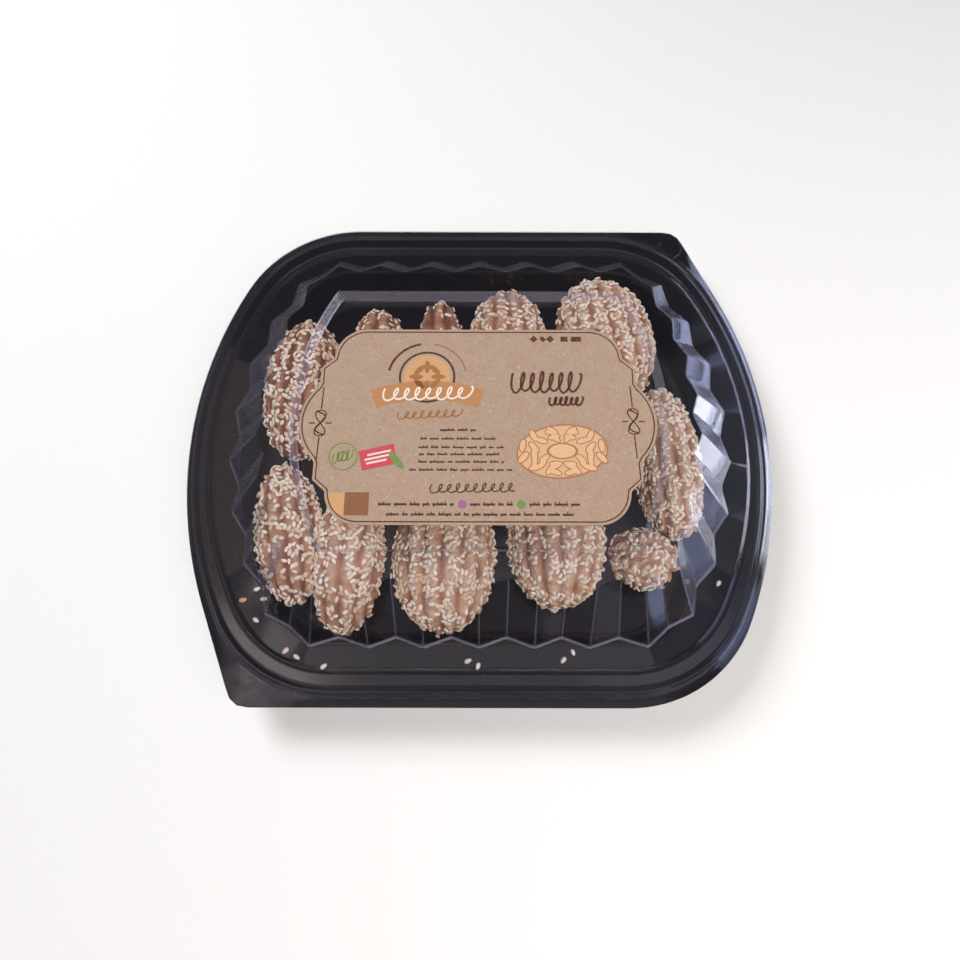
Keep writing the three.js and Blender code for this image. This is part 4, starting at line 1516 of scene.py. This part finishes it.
@dataclass
class Embossing:
    """Raised strokes on the pull tabs and along the front flange: curls, a fan of short ribs, and slanted hatching."""

    strokes: tuple[tuple[tuple[float, float], ...], ...] = (
        ((99.5, 107.0), (100.3, 103.8), (99.4, 100.6), (96.1, 98.1)), ((93.6, 108.8), (95.8, 107.8), (97.3, 105.2)),
        ((89.1, 108.8), (90.4, 106.4), (88.7, 104.6), (90.5, 102.2)),
        ((-91.9, -101.7), (-89.0, -103.0), (-87.5, -105.9)), ((-100.0, -101.3), (-100.6, -105.0), (-99.2, -108.2)),
    )
    fan_middle: tuple[float, float] = (-93.2, -100.5)
    fan_inner: float = 4.2
    fan_outer: float = 7.2
    fan_ribs: int = 8
    fan_turns: tuple[float, float] = (215.0, 325.0)
    hatch_start: float = -72.4
    hatch_end: float = -23.7
    hatch_pitch: float = 3.2
    hatch_slant: float = 1.5
    hatch_y: tuple[float, float] = (-112.4, -110.2)
    stroke: float = 1.0

    def build(self, level: float, material: bpy.types.Material) -> None:
        """Sweeps the strokes on the flange.

        Args:
            level: height of the flange.
            material: the tray's finish.
        """
        paths = [(np.array(stroke), False) for stroke in self.strokes]
        middle = np.array(self.fan_middle)
        for angle in np.linspace(*np.radians(self.fan_turns), self.fan_ribs):
            ray = np.array([math.cos(angle), math.sin(angle)])
            paths.append((np.array([middle + ray * self.fan_inner, middle + ray * self.fan_outer]), False))
        for x in np.arange(self.hatch_start, self.hatch_end, self.hatch_pitch):
            low, high = self.hatch_y
            paths.append((np.array([(x, low), (x + self.hatch_slant, high)]), False))
        Sweep("tray_embossing", self.stroke, self.stroke, Profile.ROUND).build(paths, level, material, "tray")


@dataclass
class Print:
    """The label's print: plain fields of colour, simple shapes, rows of dashes and thin lines.

    Places are measured from the label's middle. A row of dashes has its start, end, middle height and size.
    """

    label: Label
    paper: str = "#b29b8a"
    dark: str = "#4a231c"
    brown: str = "#a06c42"
    wood: str = "#b98254"
    orange: str = "#cfa070"
    straw: str = "#e3b88c"
    rust: str = "#a8704c"
    green: str = "#6b8f4a"
    red: str = "#c9445a"
    violet: str = "#a0648e"
    umber: str = "#86573c"
    sand: str = "#d9b18d"
    blush: str = "#f0d8d2"
    cream: str = "#f2e6dc"
    medal: tuple[float, float] = (-21.4, 20.6)
    medal_arc: tuple[float, float] = (16.3, 15.6)
    film_root: float = 0.1
    film_step: float = 0.0015
    film_steps: int = 13
    line_height: float = 0.1
    tag: tuple[float, float] = (-40.2, -15.2)
    wreath: tuple[float, float] = (34.0, -12.4)
    rows: tuple[tuple[float, float, float, float], ...] = (
        (-15.4, 0.5, -3.4, 1.3), (-23.4, 9.0, -7.2, 1.1), (-24.1, 10.5, -10.9, 1.1), (-23.7, 9.7, -13.9, 1.1),
        (-24.0, 10.5, -17.1, 1.1), (-27.5, 13.6, -20.5, 1.1), (-39.2, -9.4, -34.8, 1.5), (-3.2, 13.7, -34.8, 1.5),
        (20.2, 40.0, -34.8, 1.5), (-35.9, 37.8, -38.9, 1.4),
    )

    def shapes(self) -> list[tuple[Layer, str, np.ndarray]]:
        """Lists every filled shape.

        Returns:
            Each shape's layer, colour and outline.
        """
        x, y = self.medal
        found = [
            (Layer.FIELD, self.orange, self.corner_field()),
            (Layer.SHAPE, self.umber, self.box(-47.6, -34.6, 9.6, 9.4)),
            (Layer.FIELD, self.dark, self.ellipse(x, y, 11.9, 11.9)),
            (Layer.SHAPE, self.paper, self.ellipse(x, y, 10.9, 10.9)),
            (Layer.DETAIL, self.orange, self.ellipse(x, y, 9.7, 9.7)),
            (Layer.LINE, self.wood, self.plank()),
            (Layer.FIELD, self.red, self.box(*self.tag, 14.4, 8.6, 13)),
            (Layer.DETAIL, self.green, self.ellipse(self.tag[0] + 7.4, self.tag[1] - 1.2, 4.6, 1.5, -52)),
            (Layer.FIELD, self.violet, self.ellipse(-6.1, -34.8, 1.8, 1.8)),
            (Layer.FIELD, self.green, self.ellipse(17.0, -34.8, 1.8, 1.8)),
        ]
        for line, share in ((1.9, 0.8), (0.0, 0.9), (-1.9, 0.7)):
            lean = math.radians(-13)
            place = (self.tag[0] - line * math.sin(lean), self.tag[1] + line * math.cos(lean))
            found.append((Layer.SHAPE, self.blush, self.box(*place, 12.0 * share, 0.85, 13)))
        for turn in range(0, 360, 45):
            lean = math.radians(turn)
            place = (x + 4.6 * math.cos(lean), y + 4.6 * math.sin(lean))
            found.append((Layer.LINE, self.brown, self.ellipse(*place, 2.9, 1.2, -turn)))
        for place, size in ((23.6, 2.4), (27.4, 1.8), (30.6, 2.6), (36.6, 3.0), (41.6, 4.4)):
            found.append((Layer.FIELD, self.dark, self.box(place, 38.6, size, 2.4, 45 if size < 3 else 0)))
        for row, (start, end, middle, height) in enumerate(self.rows):
            found += self.dashes(start, end, middle, height, 31 + row)
        return found + self.ears()

    def corner_field(self) -> np.ndarray:
        """The plain field that fills the label's lower left corner up to the border.

        Returns:
            Its outline.
        """
        label = self.label
        radius = label.shoulder - label.border_inset
        middle = (-label.shoulder_x, -(label.half_depth - label.shoulder))
        right, top = -52.4, -30.1
        foot = middle[1] - math.sqrt(radius ** 2 - (right - middle[0]) ** 2)
        start = math.atan2(top - middle[1], -math.sqrt(radius ** 2 - (top - middle[1]) ** 2))
        end = math.atan2(foot - middle[1], right - middle[0])
        arc = [
            (middle[0] + radius * math.cos(a), middle[1] + radius * math.sin(a))
            for a in np.linspace(start % math.tau, end % math.tau, 12)
        ]
        return np.array(arc + [(right, top)])

    @staticmethod
    def plank() -> np.ndarray:
        """The slightly arched wooden band below the medallion.

        Returns:
            Its outline.
        """
        across = np.linspace(-1, 1, 15)
        top = [(-21.0 + 23.6 * t, 14.6 + 4.2 * (1 - t * t)) for t in across]
        foot = [(-21.0 + 20.8 * t, 6.6 + 3.6 * (1 - t * t)) for t in across[::-1]]
        return np.array(top + foot)

    def dashes(self, start: float, end: float, middle: float, height: float,
               draw: int) -> list[tuple[Layer, str, np.ndarray]]:
        """A row of uneven dashes, with short strokes that rise and fall from them.

        Args:
            start: where the row starts, along x.
            end: where it ends.
            middle: its middle height on the label.
            height: how high its strokes are.
            draw: fixes the lengths, which are drawn by lot.

        Returns:
            Each dash's layer, colour and outline.
        """
        found = []
        lot = np.random.default_rng(draw)
        place = start
        while place < end - 1.0:
            length = min(float(lot.uniform(2.0, 6.4)), end - place)
            found.append((Layer.FIELD, self.dark, self.box(place + length / 2, middle, length, height * 0.62)))
            for rise in np.arange(place + 0.5, place + length - 0.3, 1.5):
                side = float(lot.choice((-0.32, 0.0, 0.38, 0.5)))
                if side:
                    found.append((Layer.SHAPE, self.dark, self.box(rise, middle + side * height, 0.4, height * 0.7)))
            place += length + 1.1
        return found

    def ears(self) -> list[tuple[Layer, str, np.ndarray]]:
        """Two ears of wheat that curve round each other like a wreath, on an oval field.

        Returns:
            Each shape's layer, colour and outline.
        """
        found = [
            (Layer.FIELD, self.rust, self.ellipse(*self.wreath, 18.7, 11.7, 6)),
            (Layer.SHAPE, self.sand, self.ellipse(*self.wreath, 18.0, 11.0, 6)),
        ]
        for sign in (1, -1):
            for row in range(9):
                angle = math.radians(-150 + row * 33) * sign + (0.0 if sign > 0 else math.pi)
                size = 1.0 - 0.045 * abs(row - 4)
                for out in (0.7, 1.02):
                    place = (self.wreath[0] + 14.6 * out * math.cos(angle) + 1.6 * sign,
                             self.wreath[1] + 8.8 * out * math.sin(angle))
                    turn = -math.degrees(angle) - 90 + sign * (24 if out > 1 else -24)
                    found.append((Layer.DETAIL, self.rust, self.ellipse(*place, 3.2 * size, 1.65 * size, turn)))
                    found.append((Layer.LINE, self.straw, self.ellipse(*place, 2.7 * size, 1.15 * size, turn)))
        for size, layer, colour in ((4.9, Layer.DETAIL, self.rust), (4.1, Layer.LINE, self.straw)):
            found.append((layer, colour, self.ellipse(*self.wreath, size * 1.3, size * 0.72)))
        return found

    @staticmethod
    def placed(points: np.ndarray, x: float, y: float, turn: float) -> np.ndarray:
        """Turns points round the origin and moves them.

        Args:
            points: points in plan.
            x: how far they move along x.
            y: how far they move along y.
            turn: how far they turn, in degrees.

        Returns:
            The points in their place.
        """
        angle = math.radians(turn)
        spin = np.array([[math.cos(angle), math.sin(angle)], [-math.sin(angle), math.cos(angle)]])
        return points @ spin + np.array([x, y])

    def box(self, x: float, y: float, width: float, depth: float, turn: float = 0.0) -> np.ndarray:
        """A rectangle round a middle, turned in degrees."""
        corners = np.array([(-1, -1), (1, -1), (1, 1), (-1, 1)]) * np.array([width, depth]) / 2
        return self.placed(corners, x, y, turn)

    def ellipse(self, x: float, y: float, half_x: float, half_y: float, turn: float = 0.0) -> np.ndarray:
        """An ellipse round a middle, turned in degrees."""
        angle = np.linspace(0, math.tau, 28, endpoint=False)
        return self.placed(np.column_stack([half_x * np.cos(angle), half_y * np.sin(angle)]), x, y, turn)

    def arc(self, start: float, end: float) -> np.ndarray:
        """An open arc round the medallion between two angles."""
        (x, y), (half_x, half_y) = self.medal, self.medal_arc
        return np.array([(x + half_x * math.cos(a), y + half_y * math.sin(a)) for a in np.linspace(start, end, 16)])

    @staticmethod
    def flourish(start: float, end: float, middle: float, height: float, loops: float, lean: float = 0.0) -> np.ndarray:
        """A looping pen line between two places.

        Args:
            start: where it starts, along x.
            end: where it ends.
            middle: its middle height on the label.
            height: half of its height.
            loops: how many loops it has.
            lean: how much it rises from start to end.

        Returns:
            Its points.
        """
        share = np.linspace(0, 1, int(loops * 26))
        angle = share * math.tau * loops
        reach = height * (0.9 + 0.1 * np.sin(angle * 0.37 + 1.0))
        width = 0.75 * (end - start) / loops
        return np.column_stack([
            start + (end - start) * share - width * 0.62 * np.sin(angle) * 0.9,
            middle + reach * np.cos(angle + 0.5) + lean * (share - 0.5),
        ])

    def fine_lines(self) -> list[tuple[np.ndarray, bool]]:
        """The thin dark lines: a border that follows the plaque, a knot with two stems at each side, a pen line.

        Returns:
            Each line's points, and whether it closes.
        """
        outline = self.label.outline()
        before, after = np.roll(outline, 1, axis=0), np.roll(outline, -1, axis=0)
        tangent = after - before
        length = np.linalg.norm(tangent, axis=1, keepdims=True)
        inward = np.column_stack([tangent[:, 1], -tangent[:, 0]]) / length
        found = [(outline + inward * self.label.border_inset, True)]
        angle = np.linspace(0, math.tau, 96, endpoint=False)
        for x, y, lean in ((-64.5, -0.4, -1.2), (63.5, 0.6, 1.2)):
            for width, height, lobes in ((2.2, 5.6, 2), (1.9, 5.2, 3)):
                knot = np.column_stack([width * np.sin(lobes * angle), height * np.sin(angle)])
                found.append((knot + np.array([x, y]), True))
            for half in (-1, 1):
                found.append((np.array([(x, y + half * 6.2), (x - half * lean * 0.3, y + half * 16.0)]), False))
                found.append((np.array([(x + half * 2.2, y), (x + half * 4.6, y)]), False))
        found.append((self.flourish(-18.2, 14.6, -28.0, 1.9, 9.5, 0.6), False))
        return found

    def bold_lines(self) -> list[tuple[np.ndarray, bool]]:
        """The thicker dark strokes: the large pen line, the small one below it, and the medallion's outer arc."""
        large, small = self.flourish(14.6, 42.4, 18.2, 4.9, 7.0), self.flourish(29.8, 43.0, 9.6, 1.9, 6.0)
        return [(large, False), (small, False), (self.arc(1.75, 2.95), False)]

    def light_lines(self) -> list[tuple[np.ndarray, bool]]:
        """The pale pen line on the plank."""
        return [(self.flourish(-38.5, -3.0, 12.9, 2.9, 8.0, 0.8), False)]

    def brown_lines(self) -> list[tuple[np.ndarray, bool]]:
        """The brown pen line under the plank, and the medallion's other outer arc."""
        return [(self.flourish(-32.4, -7.0, 3.6, 1.7, 8.0, 1.2), False), (self.arc(0.2, 1.4), False)]

    def green_lines(self) -> list[tuple[np.ndarray, bool]]:
        """A green ring round a small coil.

        Returns:
            Each line's points, and whether it closes.
        """
        angle = np.linspace(0, math.tau, 48, endpoint=False)
        ring = np.column_stack([np.cos(angle), np.sin(angle)])
        middle = np.array([-54.2, -14.8])
        return [
            (ring * 5.7 + middle, True), (ring * 2.0 + middle, True),
            (self.flourish(-58.0, -50.6, -14.8, 2.4, 4.0, 1.6), False),
        ]

    def fields(self, material: bpy.types.Material) -> bpy.types.Object:
        """Joins the filled shapes as thin ink films; a small step in height keeps films of one layer apart.

        Args:
            material: the ink.

        Returns:
            The films, which store their colour on their faces.
        """
        all_points, all_faces, colours = [], [], []
        start = 0
        for number, (layer, colour, outline) in enumerate(self.shapes()):
            top = self.label.high + layer.value / 100 + number % self.film_steps * self.film_step
            points, faces = self.label.prism(outline, self.label.high - self.film_root, top)
            all_points.append(points)
            all_faces += [tuple(corner + start for corner in face) for face in faces]
            colours += [linear(colour)] * len(faces)
            start += len(points)
        piece = mesh_object("label_print", np.vstack(all_points), all_faces, smooth=False)
        ink = piece.data.attributes.new("ink", "FLOAT_COLOR", "FACE")
        ink.data.foreach_set("color", np.array(colours, np.float32).reshape(-1))
        return dress(piece, material, "label")

    def build(self, material: bpy.types.Material) -> None:
        """Builds the filled shapes and the lines.

        Args:
            material: the ink.
        """
        self.fields(material)
        level = self.label.high + Layer.DETAIL.value / 100
        shift = np.array([self.label.x, self.label.y])
        for name, width, colour, paths in (
            ("label_fine_lines", 0.5, self.dark, self.fine_lines()),
            ("label_bold_lines", 0.95, self.dark, self.bold_lines()),
            ("label_light_lines", 0.75, self.cream, self.light_lines()),
            ("label_brown_lines", 0.6, self.brown, self.brown_lines()),
            ("label_green_lines", 0.45, self.green, self.green_lines()),
        ):
            moved = [(line + shift, closed) for line, closed in paths]
            Sweep(name, width, self.line_height, Profile.FLAT, colour).build(moved, level, material, "label")


class Light(Enum):
    """What a light is for: it lights the pack, with or without shadows, or it is only seen in gloss."""

    SOURCE = 0
    SHADOWLESS = 1
    CARD = 2


@dataclass(frozen=True)
class Lamp:
    """A soft rectangular light: its place and size in metres, how bright its face is, its colour, what it is for."""

    name: str
    place: tuple[float, float, float]
    size: tuple[float, float]
    radiance: float
    colour: str
    kind: Light
    upright_below: float = 0.1

    def build(self) -> None:
        """Adds the light. It faces the pack, and one that stands beside the pack stays upright."""
        data = bpy.data.lights.new(self.name, "AREA")
        data.shape = "RECTANGLE"
        data.size, data.size_y = self.size
        data.energy = self.radiance * math.pi * self.size[0] * self.size[1]
        data.color = linear(self.colour)[:3]
        data.use_shadow = self.kind is not Light.SHADOWLESS
        light = bpy.data.objects.new(self.name, data)
        light.location = self.place
        facing = Vector(self.place)
        if self.place[2] < self.upright_below:
            facing.z = 0
        light.rotation_euler = facing.to_track_quat("Z", "Y").to_euler()
        light.visible_camera = False
        light.visible_glossy = self.kind is Light.CARD
        light.visible_diffuse = self.kind is not Light.CARD
        light.visible_transmission = self.kind is not Light.CARD
        bpy.context.scene.collection.objects.link(light)


@dataclass
class Studio:
    """Camera, floor, soft lights, and the bright cards that gloss shows."""

    lens: float = 23.85
    sensor: float = 36.0
    target: tuple[float, float, float] = (0.23, -20.85, 29.0)
    distance: float = 273.0
    elevation: float = 72.1
    roll: float = 0.14
    floor_reach: float = 1500.0
    air: str = "#d0d0da"
    air_strength: float = 0.07
    lamps: tuple[Lamp, ...] = (
        Lamp("key", (-0.62, 0.5, 0.85), (0.5, 0.5), 12.0, "#ffffff", Light.SOURCE),
        Lamp("fill", (0.5, -0.5, 0.8), (0.7, 0.7), 6.6, "#fffaf6", Light.SHADOWLESS),
        Lamp("window", (0.45, 0.035, 0.02), (0.17, 0.65), 4.2, "#eef2ff", Light.CARD),
        Lamp("window_front", (0.45, -0.19, 0.02), (0.22, 0.65), 1.5, "#b9c4ee", Light.CARD),
        Lamp("window_back", (0.45, 0.25, 0.02), (0.2, 0.65), 1.2, "#b9c4ee", Light.CARD),
        Lamp("window_high", (0.5, 0.26, 0.15), (0.5, 0.18), 4.5, "#c4ccf0", Light.CARD),
        Lamp("wall_front_right", (0.38, -0.5, 0.0), (0.3, 0.5), 0.3, "#cbbfc4", Light.CARD),
        Lamp("wall_left", (-0.45, 0.0, -0.05), (0.6, 0.5), 0.14, "#c4bcc8", Light.CARD),
        Lamp("strip_front", (0.0, -0.8, 0.42), (1.2, 0.06), 2.6, "#f4ecf2", Light.CARD),
        Lamp("ceiling_front", (0.0, -0.25, 0.9), (0.9, 0.9), 0.34, "#eae0e2", Light.CARD),
        Lamp("ceiling_front_left", (-0.44, -0.14, 0.9), (0.34, 0.34), 0.8, "#ecdedc", Light.CARD),
        Lamp("ceiling_left", (-0.55, 0.2, 0.8), (0.6, 0.9), 0.26, "#ecd8cc", Light.CARD),
        Lamp("ceiling_right", (0.5, 0.2, 0.8), (0.6, 0.9), 0.18, "#d0d8f0", Light.CARD),
    )

    def camera(self) -> None:
        """Puts the camera at the photograph's viewing angle."""
        data = bpy.data.cameras.new("camera")
        data.lens = self.lens
        data.sensor_width = self.sensor
        data.clip_start = 0.01
        camera = bpy.data.objects.new("camera", data)
        lift = math.radians(self.elevation)
        away = Vector((0, -math.cos(lift), math.sin(lift)))
        camera.location = (Vector(self.target) + away * self.distance) * MM
        aim = away.to_track_quat("Z", "Y").to_matrix()
        camera.rotation_euler = (aim @ Matrix.Rotation(math.radians(self.roll), 3, "Z")).to_euler()
        bpy.context.scene.collection.objects.link(camera)
        bpy.context.scene.camera = camera

    def floor(self, material: bpy.types.Material) -> None:
        """Lays the floor; glossy surfaces don't show it.

        Args:
            material: its finish.
        """
        corners = np.array([(-1, -1, 0), (1, -1, 0), (1, 1, 0), (-1, 1, 0)]) * self.floor_reach
        floor = mesh_object("studio_floor", corners, [(0, 1, 2, 3)], smooth=False)
        floor.data.materials.append(material)
        floor.visible_glossy = False

    def build(self) -> None:
        """Builds the whole studio."""
        self.camera()
        self.floor(PaleFloor().material())
        world = bpy.data.worlds.new("studio")
        bpy.context.scene.world = world
        world.use_nodes = True
        air = world.node_tree.nodes["Background"].inputs
        air["Color"].default_value = linear(self.air)
        air["Strength"].default_value = self.air_strength
        for lamp in self.lamps:
            lamp.build()
        bpy.context.scene.view_settings.view_transform = "Standard"


def main() -> None:
    """Builds the pack's pieces in order, then the studio."""
    logging.basicConfig(level=logging.INFO, format="%(name)s %(message)s")
    Studio().build()
    tray = Tray()
    plastic = BlackPolystyrene().material()
    tray.build(plastic)
    Embossing().build(tray.rim_height, plastic)
    crusts = Pastries().build(BakedCrust().material())
    Sesame().build(crusts, tray.ledge_height, HulledSesame().material())
    Lid().build(ClearPet().material())
    label = Label()
    label.build(KraftPaper().material())
    Print(label).build(PrintInk().material())


if __name__ == "__main__":
    main()
